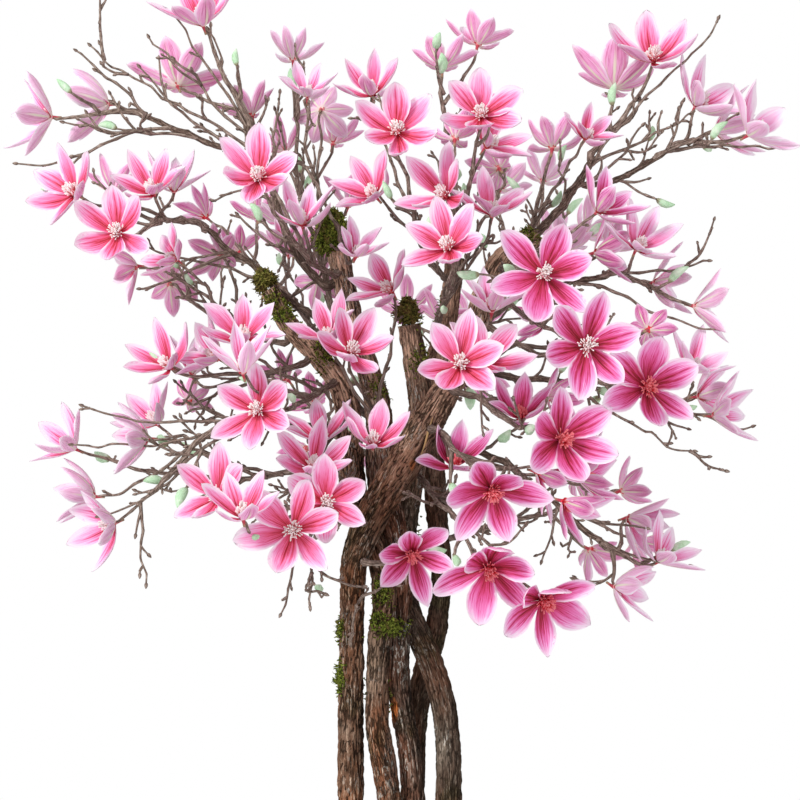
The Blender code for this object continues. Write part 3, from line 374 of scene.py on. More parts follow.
def growLead(name, number, source, stem, goal, way, openness):
    # A twig to a bloom's own place: the first leaves the wood, the others leave the first
    for route in range(growth["routes"]):
        seed = f"{name} {number} {route}"
        roll = random.Random(seed).uniform(0, math.tau / flower["tepals"])
        normal = None
        if stem is None:
            path, normal = rootedPath(source, goal, way, 0.0, route, growth["stemStep"],
                                      growth["twigWander"], seed)
        else:
            share = growth["leadShare"] + growth["leadStep"] * (route % growth["leadPlaces"])
            base, along = placeOn(stem, share)
            startWay = ((goal - base).normalized() + along * growth["leadAlong"]).normalized()
            path = archingPath(base, startWay, goal, way, growth["twigStep"],
                               growth["twigWander"], seed)
        side = ringSides(path, normal, way, roll)[1][-1]
        if onSkin(name, tepalTips(path[-1], way, side, openness)):
            return {"path": path, "way": way, "side": side, "open": openness, "spray": name,
                    "lead": True, "main": stem is None, "bloom": True}
    return None


def growFollower(name, stem, slot, slots, hasBloom):
    # A twig by the golden angle along the stem, bending outward and up to a bloom or a bud
    g = growth
    for attempt in range(g["tries"]):
        seed = f"{name} follow {slot} {attempt}"
        rng = random.Random(seed)
        share = g["shareLow"] + g["shareSpan"] * (slot + rng.random()) / slots
        base, along = placeOn(stem, share)
        level = along.cross(up).normalized()
        turn = g["golden"] * (slot + attempt) + rng.uniform(-g["turnChance"], g["turnChance"])
        fork = rng.uniform(g["forkLow"], g["forkHigh"])
        aside = math.cos(turn) * level + math.sin(turn) * level.cross(along)
        startWay = (math.cos(fork) * along + math.sin(fork) * aside).normalized()
        outward = (base - g["centre"]).normalized()
        chance = Vector([rng.uniform(-g["chance"], g["chance"]) for _ in range(3)])
        way = (startWay * g["along"] + outward * g["out"] + up * g["up"] + chance).normalized()
        openness = rng.uniform(g["openLow"], g["openHigh"])
        roll = rng.uniform(0, math.tau / flower["tepals"])
        low, high = g["bloomTwig"] if hasBloom else g["budTwig"]
        goal = base + (startWay + way * g["reachTurn"]).normalized() * rng.uniform(low, high)
        path = archingPath(base, startWay, goal, way, g["twigStep"], g["twigWander"], seed)
        side = ringSides(path, None, way, roll)[1][-1]
        tips = tepalTips(goal, way, side, openness) if hasBloom else [goal + way * g["budLength"]]
        if onSkin(name, tips):
            return {"path": path, "way": way, "side": side, "open": openness, "spray": name,
                    "lead": False, "main": False, "bloom": hasBloom}
    return None


def backSprays():  # rows for the back, spread by a fixed turn up the crown
    rows = {}
    for number in range(backRule["sprays"]):
        level = (number + 0.5) / backRule["sprays"]
        turn = math.radians(backRule["first"] + number * backRule["turn"] % backRule["arc"])
        height = backRule["foot"] + backRule["rise"] * level
        reach = backRule["reach"] * math.sin(math.pi * (backRule["low"] + backRule["span"] * level))
        tip = (math.sin(turn) * reach, -math.cos(turn) * reach, height)
        root = (backRule["rootReach"] * math.sin(turn), backRule["rootReach"],
                min(height - backRule["rootDrop"], backRule["rootTop"]))
        rise = backRule["facing"] + backRule["facingSpan"] * level
        lead = (*tip, math.degrees(turn), rise, backRule["open"])
        rows[f"spray_back_{number + 1}"] = (root, [lead], backRule["blooms"] - 1)
    return rows


stemPaths, stemRadii = settleStems()
for name, path in stemPaths.items():
    woods[name] = [Vector(place) for place in path]
boughs = []
for name, row in boughRows.items():
    boughs.append(growBough(name, *row))
    woods[name] = boughs[-1]["path"]
twigs = []
allSprays = {**sprayRows, **backSprays()}
for name, (source, leads, more) in allSprays.items():
    stem = None
    for number, (*place, right, rise, openness) in enumerate(leads):
        way = facingWay(right, rise)
        twig = growLead(name, number, source, stem, Vector(place), way, openness)
        stem = twig["path"] if number == 0 else stem
        twigs += [twig] if twig else []
    for slot in range(more + 1):
        twig = growFollower(name, stem, slot, more + 1, slot < more)
        twigs += [twig] if twig else []
blooms = [twig for twig in twigs if twig["bloom"]]
print("rule regrown:", len(boughs), "boughs,", len(twigs), "twigs,", len(blooms), "blooms")


# Mesh building
def part(points, quads, tris=(), maps=(None, None), grain=None, height=None, rim=None):
    # One shape's arrays: points, faces of four and of three, map places, values of the points
    return {"points": np.asarray(points, float), "quads": np.asarray(quads).reshape(-1, 4),
            "tris": np.asarray(tris, np.int64).reshape(-1, 3), "quadMap": maps[0],
            "triMap": maps[1], "grain": grain, "height": height, "rim": rim}


def makePiece(name, parts, material, replaced=()):
    # All parts end to end in one mesh, each part's faces counted on from the points before it
    starts = np.cumsum([0] + [len(one["points"]) for one in parts[:-1]])
    points = np.concatenate([one["points"] for one in parts])
    quads, tris = (np.concatenate([one[key] + start for one, start in zip(parts, starts)])
                   for key in ("quads", "tris"))
    corners = np.concatenate([quads.ravel(), tris.ravel()])
    firsts = np.concatenate([4 * np.arange(len(quads)), 4 * len(quads) + 3 * np.arange(len(tris))])
    mesh = bpy.data.meshes.new(name)
    mesh.vertices.add(len(points))
    mesh.vertices.foreach_set("co", points.ravel())
    mesh.loops.add(len(corners))
    mesh.loops.foreach_set("vertex_index", corners)
    mesh.polygons.add(len(firsts))
    mesh.polygons.foreach_set("loop_start", firsts)
    mesh.polygons.foreach_set("use_smooth", np.ones(len(firsts), bool))
    for key, kind, field in (("grain", "FLOAT_VECTOR", "vector"), ("height", "FLOAT", "value")):
        if parts[0][key] is not None:
            found = np.concatenate([one[key] for one in parts])
            mesh.attributes.new(key, kind, "POINT").data.foreach_set(field, found.ravel())
    if parts[0]["quadMap"] is not None:
        laid = np.concatenate([one["quadMap"].reshape(-1, 2) for one in parts]
                              + [one["triMap"].reshape(-1, 2) for one in parts if len(one["tris"])])
        for mapName in ("petalMap", "OFBake"):
            mesh.uv_layers.new(name=mapName).uv.foreach_set("vector", laid.ravel())
    mesh.materials.append(material)
    mesh.update(calc_edges=True)
    if parts[0]["rim"] is not None:
        ends = np.zeros(2 * len(mesh.edges), np.int32)
        mesh.edges.foreach_get("vertices", ends)
        onRim = np.concatenate([one["rim"] for one in parts])[ends.reshape(-1, 2)].all(axis=1)
        mesh.attributes.new("sharp_edge", "BOOLEAN", "EDGE").data.foreach_set("value", onRim)
    piece = bpy.data.objects.new(name, mesh)
    bpy.context.scene.collection.objects.link(piece)
    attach(piece, "root")
    if replaced:
        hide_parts(*replaced)
    print("made", name, len(quads) * 2 + len(tris), "triangles")


def unit(vectors):  # the same ways, one long
    return vectors / np.linalg.norm(vectors, axis=-1, keepdims=True)


def anglesOf(sides):  # evenly spaced turns of one round
    return math.tau * np.arange(sides) / sides


def ringPoints(angle, reach, height):  # (cos a reach, sin a reach, height)
    aside, ahead = np.cos(angle) * reach, np.sin(angle) * reach
    return np.stack(np.broadcast_arrays(aside, ahead, height), axis=-1)


def aimed(angle, first, second):  # the first way turned by the angle toward the second
    return np.cos(angle) * first + np.sin(angle) * second


def ringFaces(rings, sides):  # quads of a closed tube of rings, facing out
    ring, corner = np.meshgrid(np.arange(rings - 1), np.arange(sides), indexing="ij")
    low, after = ring * sides + corner, ring * sides + (corner + 1) % sides
    return np.stack([low, after, after + sides, low + sides], axis=-1).reshape(-1, 4)


def capFaces(rings, sides):  # fans that close both ends on two more points
    corner = np.arange(sides)
    after, last = (corner + 1) % sides, (rings - 1) * sides
    foot, top = np.full(sides, rings * sides), np.full(sides, rings * sides + 1)
    return np.concatenate([np.stack([after, corner, foot], axis=-1),
                           np.stack([last + corner, last + after, top], axis=-1)])


def framesOf(path):  # way, side and across of each ring, the side kept square to one fixed line
    ways = unit(np.gradient(path, axis=-2))
    fixed = np.eye(3)[np.argmin(np.abs(ways.mean(axis=-2)), axis=-1)][..., None, :]
    sides = unit(fixed - ways * (ways * fixed).sum(axis=-1, keepdims=True))
    return ways, sides, np.cross(ways, sides)


def tubes(paths, radii, sides, ridge=1.0, cell=None):
    # Ring k is path[k] + radius[k] (cos a side + sin a across); grain holds (x, y, along)
    paths = np.asarray(paths, float)
    amount, rings = paths.shape[:2]
    _, side, across = framesOf(paths)
    angle = anglesOf(sides)
    reach = np.broadcast_to(np.asarray(radii, float)[..., None] * ridge, (amount, rings, sides))
    outward = aimed(angle[:, None], side[:, :, None], across[:, :, None])
    points = (paths[:, :, None] + outward * reach[..., None]).reshape(amount, -1, 3)
    steps = np.linalg.norm(np.diff(paths, axis=1), axis=2)
    along = np.concatenate([np.zeros((amount, 1)), np.cumsum(steps, axis=1)], axis=1)
    grain = ringPoints(angle, reach, along[..., None])
    ends = np.zeros((amount, 2, 3))
    ends[:, 1, 2] = along[:, -1]
    points = np.concatenate([points, paths[:, [0, -1]]], axis=1)
    grain = np.concatenate([grain.reshape(amount, -1, 3), ends], axis=1)
    firsts = (np.arange(amount) * points.shape[1])[:, None, None]
    maps = (None, None) if cell is None else tubeMap(amount, rings, sides, cell)
    return part(points.reshape(-1, 3), ringFaces(rings, sides) + firsts,
                capFaces(rings, sides) + firsts, maps, grain.reshape(-1, 3))


def tubeMap(amount, rings, sides, cell):  # map places within one upright strip of the square
    low, high = cell
    margin = 0.01
    ring, corner = np.meshgrid(np.arange(rings - 1), np.arange(sides), indexing="ij")
    around = np.stack([corner, corner + 1, corner + 1, corner], axis=-1) / sides
    upward = np.stack([ring, ring, ring + 1, ring + 1], axis=-1) / (rings - 1)
    quads = np.stack([low + (high - low) * around, margin + (1 - 2 * margin) * upward], axis=-1)
    left, right = (low + (high - low) * (np.arange(sides) + step) / sides for step in (0, 1))
    caps = []
    for first, second, edge, middle in ((right, left, margin, 0), (left, right, 1 - margin, 1)):
        aside = np.stack([first, second, (left + right) / 2], axis=1)
        caps.append(np.stack([aside, np.broadcast_to([edge, edge, middle], aside.shape)], axis=-1))
    return (np.tile(quads.reshape(-1, 4, 2), (amount, 1, 1)),
            np.tile(np.concatenate(caps), (amount, 1, 1)))


def lattice(places, seed):
    # Value noise from 0 to 1: scrambled whole numbers at whole places, eased between them
    low = np.floor(places).astype(np.int64)
    ease = places - low
    ease = ease * ease * (3 - 2 * ease)
    total = np.zeros(places.shape[:-1])
    for corner in itertools.product((0, 1), repeat=3):
        spot = low + corner
        mixed = (spot[..., 0] * 374761393 + spot[..., 1] * 668265263 + spot[..., 2] * 1440662683
                 + seed * 1274126177)
        mixed = (mixed ^ (mixed >> 13)) * 1103515245
        mixed = (mixed ^ (mixed >> 16)) & 0xffffff
        total += np.prod(np.where(corner, ease, 1 - ease), axis=-1) * mixed / 0xffffff
    return total


def ridged(places, seed):  # noise folded at its middle, so that its middle makes sharp lines
    return 1 - np.abs(2 * lattice(places, seed) - 1)


# Material building
class Wire:  # a value inside a material; sums and products of wires are math nodes
    def __init__(self, socket):
        self.socket = socket
        self.tree = socket.id_data

    def calc(self, operation, other=0.5):
        return node(self.tree, "Math", {0: self, 1: other}, operation=operation)

    def ease(self, low, high):  # 0 below low, 1 above high, smooth between
        return node(self.tree, "MapRange", {0: self, 1: low, 2: high},
                    interpolation_type="SMOOTHSTEP")

    def __add__(self, other):
        return self.calc("ADD", other)

    def __mul__(self, other):
        return self.calc("MULTIPLY", other)

    def __sub__(self, other):
        return self.calc("SUBTRACT", other)

    def __truediv__(self, other):
        return self.calc("DIVIDE", other)

    def __rsub__(self, other):
        return node(self.tree, "Math", {0: other, 1: self}, operation="SUBTRACT")

    __radd__ = __add__


def feed(socket, value):  # a wire is linked to the socket, a plain value set on it
    if isinstance(value, Wire):
        socket.id_data.links.new(value.socket, socket)
    else:
        socket.default_value = (*value, 1.0)[:4] if socket.type == "RGBA" else value


def node(tree, kind, given, output=0, **settings):
    made = tree.nodes.new("ShaderNode" + kind)
    for key, value in settings.items():
        setattr(made, key, value)
    for key, value in given.items():
        feed(made.inputs[key], value)
    return Wire(made.outputs[output])


def newMaterial(name, roughness, gloss=0.2):
    made = bpy.data.materials.new(name)
    made.use_nodes = True
    shader = made.node_tree.nodes["Principled BSDF"]
    feed(shader.inputs["Roughness"], roughness)
    feed(shader.inputs["Specular IOR Level"], gloss)
    return made, made.node_tree, shader


def blend(share, first, second, way="MIX"):
    tree = next(one.tree for one in (share, first, second) if isinstance(one, Wire))
    return node(tree, "Mix", {0: share, 6: first, 7: second}, 2, data_type="RGBA", blend_type=way)


def ramp(value, stops):  # colour read off evenly spaced stops, the first at 0 and the last at 1
    made = node(value.tree, "ValToRGB", {0: value})
    marks = made.socket.node.color_ramp.elements
    for number in range(1, len(stops) - 1):
        marks.new(number / (len(stops) - 1))
    for mark, tone in zip(marks, stops):
        mark.color = (*tone, 1.0)
    return made


def stretched(vector, scale, place=(0, 0, 0)):
    return node(vector.tree, "Mapping", {"Vector": vector, "Scale": scale, "Location": place})


def noise(vector, scale, detail=3.0, roughness=0.55, warp=0.0):
    return node(vector.tree, "TexNoise", {"Vector": vector, "Scale": scale, "Detail": detail,
                                          "Roughness": roughness, "Distortion": warp}, "Fac")


def swayed(vector, scale, amount):  # vector + amount times a coloured noise
    waver = node(vector.tree, "TexNoise", {"Vector": vector, "Scale": scale}, "Color")
    return node(vector.tree, "VectorMath", {0: waver, 1: (amount,) * 3, 2: vector},
                operation="MULTIPLY_ADD")


def cells(vector, scale, feature, output):  # way to the edge of a Voronoi cell, or its own value
    return node(vector.tree, "TexVoronoi", {"Vector": vector, "Scale": scale}, output,
                feature=feature)


def attribute(tree, name, output):
    return node(tree, "Attribute", {}, output, attribute_name=name)


def objectPlace(tree):
    return node(tree, "TexCoord", {}, "Object")


def axisOf(vector, axis):
    return node(vector.tree, "SeparateXYZ", {0: vector}, axis)


def distance(tree, scale, place):  # length of the object's place, scaled and moved
    moved = stretched(objectPlace(tree), scale, place)
    return node(tree, "VectorMath", {0: moved}, "Value", operation="LENGTH")


def bump(shader, height, strength, depth):
    given = {"Strength": strength, "Distance": depth, "Height": height}
    feed(shader.inputs["Normal"], node(height.tree, "Bump", given))


def fieldOf(tree, kind, *given):
    # A distance, the way along the grain, or a noise of the grain or of the place, stretched
    if kind == "distance":
        return distance(tree, *given)
    source = objectPlace(tree) if kind == "place" else attribute(tree, "grain", "Vector")
    if kind == "along":
        return axisOf(source, 2)
    stretch, *rest = given
    return noise(stretched(source, stretch) if stretch else source, *rest)


def laid(under, look, fields, over, strength, *masks):
    # A tone over the one under it: strength times the look's named shares and its eased fields
    share = strength
    for mask in masks:
        if isinstance(mask, str):
            share = share * look[mask]
        else:
            field = fields[mask[0]]
            share = (field.ease(*mask[1:]) if mask[1:] else field) * share
    return blend(share, under, look[over])


def painted(name, look):
    # The look's first tone, its layers laid on in turn, and a relief of its weighted fields
    made, tree, shader = newMaterial(name, *look["finish"])
    fields = {key: fieldOf(tree, *row) for key, row in look["fields"].items()}
    tone = look[look["first"]]
    for row in look["layers"]:
        tone = laid(tone, look, fields, *row)
    feed(shader.inputs["Base Color"], tone)
    if "relief" in look:
        bump(shader, sum(fields[key] * share for key, share in look["relief"].items()),
             *look["bump"])
    return made


def mapPlaces(tree):  # places across and up the map that is laid on tepals and hearts
    placed = node(tree, "UVMap", {}, uv_map="petalMap")
    return axisOf(placed, 0), axisOf(placed, 1)


# Bark of the stems
bark = {
    "sides": 76, "ringStep": 0.0034, "lump": 0.0042, "depth": 0.0026, "endEase": 0.004,
    "plate": (330, 330, 62), "crumb": (520, 520, 150), "flake": (300, 300, 60),
    "broad": (38, 38, 13), "knot": (30, 30, 22), "knotFrom": 0.72, "knotSize": 4,
    "drift": (45, 45, 30), "driftBy": 0.0045, "full": 1.05, "crackFrom": 0.55,
    "crackDeep": 0.85, "crackPower": 1.3, "crumbFrom": 0.6, "crumbDeep": 0.45,
    "flakeDeep": 0.35, "level": 0.66,
    # painted light: the lighter tone laid on the upper stems
    "crack": (0.012, 0.007, 0.004), "upper": (0.64, 0.41, 0.285),
    "lichen": (0.62, 0.6, 0.54), "olive": (0.08, 0.068, 0.028),
    "finish": (0.92, 0.06), "sway": (150, 0.0022), "edge": ((1, 1, 0.13), 280),
    "chip": ((1, 1, 0.2), 520), "darkShare": 0.7, "relief": (0.9, 0.35, 0.8),
    "bump": (1.0, 0.0028), "strand": (1.8, 2.2, 0.95), "paintedShadeSide": (0.3, 1.15), "paintedShadeBy": 0.55,
    "paintedShadeRagged": 0.5, "spotEdge": (1.45, 1.05), "spotFibre": (0.36, 0.5), "spotRagged": 0.8,
    "seamEdge": (0.12, 0.03), "seamMould": (0.42, 0.58), "seamDepth": (0.26, 0.08),
    "bentFields": {"fibre": ((1, 1, 0.062), 430, 5, 0.74), "fine": ((1, 1, 0.13), 760, 3, 0.7)},
    "fields": {"region": ("grain", (1, 1, 0.6), 14, 3, 0.55),
               "mould": ("grain", (1, 1, 0.5), 26, 3, 0.6),
               "fleck": ("grain", (1, 1, 0.7), 210, 4, 0.7),
               "cluster": ("grain", (1, 1, 0.5), 34, 2, 0.5)},
    "body": (("brown", 1.0, ("region", 0.38, 0.54)), ("grey", 0.8, ("region", 0.54, 0.7)),
             ("olive", 0.55, ("mould", 0.52, 0.66)),
             # painted light: the stems take the lighter tone from 0.92 m up, fully from 1.12 m
             ("upper", 0.9, ("tall", 0.92, 1.12), ("mould", 0.88, 0.5))),
    "strips": (("dark", 0.55, "flaky", ("chip", 0.42, 0.08)), ("dark", 0.7, ("fine", 0.46, 0.34)),
               # partly the bark's pale flakes, partly painted glints: the pale tone on raised chips
               # along raised fibres
               ("pale", 0.95, "flaky", ("chip", 0.66, 0.84), ("cluster", 0.36, 0.56),
                ("fibre", 0.42, 0.58)),
               # partly pale fibres, partly painted highlights along the raised fibres
               ("pale", 0.5, ("fibre", 0.54, 0.68))),
    "marks": (("crack", 0.8, "flaky", ("seam",)),
              ("lichen", 1.0, "specks", ("fleck", 0.5, 0.58), ("cluster", 0.53, 0.64),
               ("chip", 0.42, 0.58))),
}
barkTones = {  # each stem's browns, darker on stem_right and stem_back partly as their own tone and partly as painted shade; its pale tone, for flakes and partly painted glints; how much lichen it carries, how flaky it is
    "stem_left": {"brown": (0.205, 0.108, 0.066), "rust": (0.31, 0.135, 0.07),
                  "grey": (0.28, 0.195, 0.142), "pale": (0.62, 0.46, 0.34),
                  "specks": 0.4, "flaky": 1.0},
    "stem_centre_left": {"brown": (0.19, 0.102, 0.064), "rust": (0.29, 0.122, 0.064),
                         "grey": (0.27, 0.19, 0.142), "pale": (0.65, 0.49, 0.37),
                         "specks": 0.55, "flaky": 1.0},
    "stem_centre": {"brown": (0.155, 0.088, 0.062), "rust": (0.23, 0.1, 0.06),
                    "grey": (0.26, 0.2, 0.165), "pale": (0.64, 0.55, 0.46),
                    "specks": 0.95, "flaky": 0.95},
    # stem_right: darker browns, partly its own tone and partly painted shade
    "stem_right": {"brown": (0.13, 0.086, 0.062), "rust": (0.19, 0.098, 0.062),
                   "grey": (0.205, 0.16, 0.122), "pale": (0.54, 0.45, 0.36),
                   "specks": 0.7, "flaky": 0.75},
    # stem_back: much darker browns, partly its own tone and partly painted shade
    "stem_back": {"brown": (0.1, 0.058, 0.04), "rust": (0.165, 0.074, 0.044),
                  "grey": (0.105, 0.078, 0.06), "pale": (0.34, 0.25, 0.185),
                  "specks": 0.3, "flaky": 0.7},
}
bareSpots = [  # where the bark is rubbed off: middle, half sizes, tone, strength
    ((-0.036, -0.05, 0.735), (0.02, 0.06, 0.05), (0.36, 0.24, 0.165), 0.75),
    ((-0.006, -0.045, 0.668), (0.0075, 0.08, 0.02), (0.56, 0.17, 0.045), 1.0),
    ((-0.008, -0.045, 0.615), (0.013, 0.06, 0.045), (0.33, 0.2, 0.15), 0.6),
    ((0.02, -0.07, 1.01), (0.01, 0.04, 0.045), (0.3, 0.17, 0.1), 0.45),
    ((0.019, -0.07, 1.0), (0.0045, 0.04, 0.008), (0.48, 0.17, 0.06), 0.9),
    ((-0.03, -0.05, 1.086), (0.01, 0.06, 0.009), (0.56, 0.53, 0.45), 0.75),
]


def barkMaterial(name, look):
    # Wood tones by region, with painted light on the upper stems; dark and pale strips along the grain,
    # the pale ones partly flakes and partly painted glints; bare spots, seams and lichen;
    # the whole is darkened between its strands, and darkened more on the side facing +X, away from the
    # key lamp: painted shade
    made, tree, shader = newMaterial(name, *look["finish"])
    bent = swayed(attribute(tree, "grain", "Vector"), *look["sway"])
    fields = {key: fieldOf(tree, *row) for key, row in look["fields"].items()}
    for key, (stretch, *rest) in look["bentFields"].items():
        fields[key] = noise(stretched(bent, stretch), *rest)
    stretch, scale = look["edge"]
    edge = cells(stretched(bent, stretch), scale, "DISTANCE_TO_EDGE", "Distance")
    stretch, scale = look["chip"]
    fields["chip"] = cells(stretched(bent, stretch), scale, "F1", "Color")
    fields["tall"] = axisOf(objectPlace(tree), 2)
    seam = edge.ease(*look["seamEdge"]) * fields["mould"].ease(*look["seamMould"])
    depth = attribute(tree, "height", "Fac").ease(*look["seamDepth"])
    fields["seam"] = seam.calc("MAXIMUM", depth)
    tone = look["rust"]
    for row in look["body"]:
        tone = laid(tone, look, fields, *row)
    look = {**look, "dark": blend(look["darkShare"], tone, look["crack"])}
    for row in look["strips"]:
        tone = laid(tone, look, fields, *row)
    for middle, half, shade, strength in bareSpots:
        away = distance(tree, [1 / size for size in half],
                        [-spot / size for spot, size in zip(middle, half)])
        share = (away + fields["fleck"] * look["spotRagged"]).ease(*look["spotEdge"])
        share = share * fields["fibre"].ease(*look["spotFibre"]) * strength
        tone = blend(share, tone, shade)
    for row in look["marks"]:
        tone = laid(tone, look, fields, *row)
    # painted shade: bark whose normal faces +X, away from the key lamp, is darkened, with ragged edges
    facing = axisOf(node(tree, "TexCoord", {}, "Normal"), 0)
    paintedShadeSide = (facing + fields["region"] * look["paintedShadeRagged"]).ease(*look["paintedShadeSide"])
    coarse, thin, less = look["strand"]
    strand = fields["fibre"] * coarse + fields["fine"] * thin - less
    strand = strand * (1.0 - paintedShadeSide * look["paintedShadeBy"])
    grey = node(tree, "CombineColor", {0: strand, 1: strand, 2: strand})
    feed(shader.inputs["Base Color"], blend(1.0, tone, grey, "MULTIPLY"))
    fibreShare, chipShare, seamShare = look["relief"]
    relief = fields["fibre"] * fibreShare + fields["chip"] * (chipShare * look["flaky"])
    bump(shader, relief - fields["seam"] * (seamShare * look["flaky"]), *look["bump"])
    return made


def stemPart(name):
    # The settled rings, smoothed and carried along; reach = radius (1 + ridges) + lumps + fissures
    shape = stemShape
    rings, radii = stemPaths[name], stemRadii[name]
    _, sides = ringSides(rings, (0, 0, 1))
    knots = np.arange(len(rings))
    length = np.linalg.norm(np.diff(rings, axis=0), axis=1).sum()
    count = int(length / bark["ringStep"])
    marks = np.linspace(0, len(rings) - 1, count)
    path = smoothPath(rings, count)
    side = readAt(marks, knots, np.array(sides))
    way = np.gradient(path, axis=0)
    way[0] = (0, 0, 1)
    way = unit(way)
    side = unit(side - way * (side * way).sum(axis=1)[:, None])
    across = np.cross(way, side)
    angle = anglesOf(bark["sides"])[None, :]
    thick = np.interp(marks, knots, radii)[:, None]
    turn = shape["turns"] * math.tau * marks[:, None] / len(rings)
    reach = thick * (1 + shape["ridge"] * np.cos(shape["ridges"] * angle + turn))
    along = np.linspace(0, length, count)[:, None]
    number = list(stemRows).index(name)
    around = ringPoints(angle, thick, along)
    drift = np.stack([lattice(around * bark["drift"], seeds["drift"] + axis + number)
                      for axis in range(3)], axis=-1)
    grain = around + (drift - 0.5) * bark["driftBy"] * np.array([1, 1, 0])
    crack = ridged(grain * bark["plate"], seeds["crack"] + number)
    crumb = ridged(grain * bark["crumb"], seeds["crumb"] + number)
    flake = lattice(grain * bark["flake"], seeds["flake"] + number)
    cracked = np.clip((crack - bark["crackFrom"]) / (1 - bark["crackFrom"]), 0, 1)
    crumbled = np.clip((crumb - bark["crumbFrom"]) / (1 - bark["crumbFrom"]), 0, 1)
    height = np.clip(bark["full"] - bark["crackDeep"] * cracked ** bark["crackPower"]
                     - bark["crumbDeep"] * crumbled - bark["flakeDeep"] * (1 - flake), 0, 1)
    lump = lattice(around * bark["broad"], seeds["broad"] + number) - 0.5
    knotty = lattice(around * bark["knot"], seeds["knot"] + number) - bark["knotFrom"]
    lump = lump + 0.5 * (np.clip(knotty, 0, None) * bark["knotSize"])
    ends = np.clip(np.minimum(along, length - along) / bark["endEase"], 0, 1)
    reach = reach + ends * (bark["lump"] * lump + bark["depth"] * (height - bark["level"]))
    outward = aimed(angle[..., None], side[:, None], across[:, None])
    points = (path[:, None] + outward * reach[..., None]).reshape(-1, 3)
    grain = np.concatenate([around.reshape(-1, 3), [[0, 0, 0], [0, 0, length]]])
    return part(np.concatenate([points, path[[0, -1]]]), ringFaces(count, bark["sides"]),
                capFaces(count, bark["sides"]), grain=grain + number,
                height=np.concatenate([height.ravel(), [0.5, 0.5]]))


for name in stemRows:
    stemBark = barkMaterial(name.replace("_", " ") + " bark", {**bark, **barkTones[name]})
    makePiece(name + "_bark", [stemPart(name)], stemBark, [name])

# Boughs and twigs
wood = {
    "boughSides": 10, "mainSides": 7, "twigSides": 6, "bareSides": 6, "fineSides": 5,
    "step": 0.005, "taper": 0.9, "knuckleGap": 0.021, "firstKnuckle": (0.4, 1.0),
    "knuckleShift": 0.25, "knuckle": 0.24, "knuckleWidth": 0.003, "kink": 0.0017,
    "collar": 0.25, "collarLength": 0.01, "ridges": ((2, 0.05, 35), (3, 0.03, -50)),
    "boughThin": 0.84, "mainRadius": 0.0046, "twigRadius": 0.0029, "tipRadius": 0.0018,
    "bareRadius": 0.0027, "rootIn": 0.004, "mainStart": 0.03, "twigStart": 0.016,
    "bareStart": 0.02, "bareLean": 0.5, "bareRise": 0.3,
    "dark": (0.07, 0.047, 0.037), "taupe": (0.235, 0.168, 0.134), "pale": (0.5, 0.405, 0.345),
    "finish": (0.78,), "first": "dark", "relief": {"streak": 1.0}, "bump": (0.5, 0.0007),
    "fields": {"streak": ("grain", (1, 1, 0.16), 700, 3, 0.65),
               "patch": ("place", None, 24, 3, 0.6), "trunk": ("distance", (1, 1, 0.9), (0, 0, -1.02))},
    "layers": (("taupe", 1.0, ("streak", 0.34, 0.5)), ("pale", 1.0, ("streak", 0.5, 0.66)),
               ("dark", 0.45, ("patch", 0.5, 0.68)), ("dark", 0.42, ("trunk", 0.32, 0.12))),
}
boughTones = {"dark": (0.036, 0.023, 0.017), "taupe": (0.128, 0.084, 0.063),
              "pale": (0.34, 0.255, 0.205)}
finer = {  # four levels: on boughs, on main and bare twigs, on other twigs, on finer twigs
    "gap": (0.032, 0.032, 0.03, 0.026), "first": 0.08, "last": 0.97, "slip": 0.6, "turn": 0.5,
    "fork": (24, 54), "spurShare": (0.45, 0.5, 0.6, 0.66), "spur": (0.006, 0.014),
    "long": ((0.05, 0.135), (0.04, 0.11), (0.022, 0.06), (0.012, 0.034)),
    "lift": (-0.1, 0.7), "sway": 0.28, "fullLift": 0.05, "bow": 0.9, "radius": 0.002,
    "tip": 0.0013, "shortReach": 0.02, "shortRadius": 0.8, "longRadius": 0.85, "thicken": 3,
    "onFrom": 0.034, "onStart": 0.012, "edge": 0.004, "lowest": 0.775, "bloomFoot": 0.008,
    "bloomReach": 0.086, "bloomMargin": math.radians(16), "budShare": 0.14, "budLength": 0.03,
    "mostBuds": 76, "budApart": 0.02,
}
endBuds = {
    "marks": (0.0, 0.25, 0.55, 0.85, 1.0), "long": 4.6, "thick": (0.95, 1.45, 1.35, 0.7, 0.15),
    "sides": 5, "sunk": 0.0006, "size": (1.0, 1.4), "bareSize": 1.3, "spareSize": 1.2,
}
reachLow, reachHigh = (np.array(corner) for corner in cadBox)
bloomFeet = np.array([twig["path"][-1] for twig in blooms])
bloomWays = np.array([twig["way"] for twig in blooms])
bloomLeans = np.radians([flower["closed"] + flower["span"] * twig["open"] for twig in blooms])


def wordSeed(words, start):  # a whole number from a piece's own words
    return sum(ord(letter) * (spot + start) for spot, letter in enumerate(words))


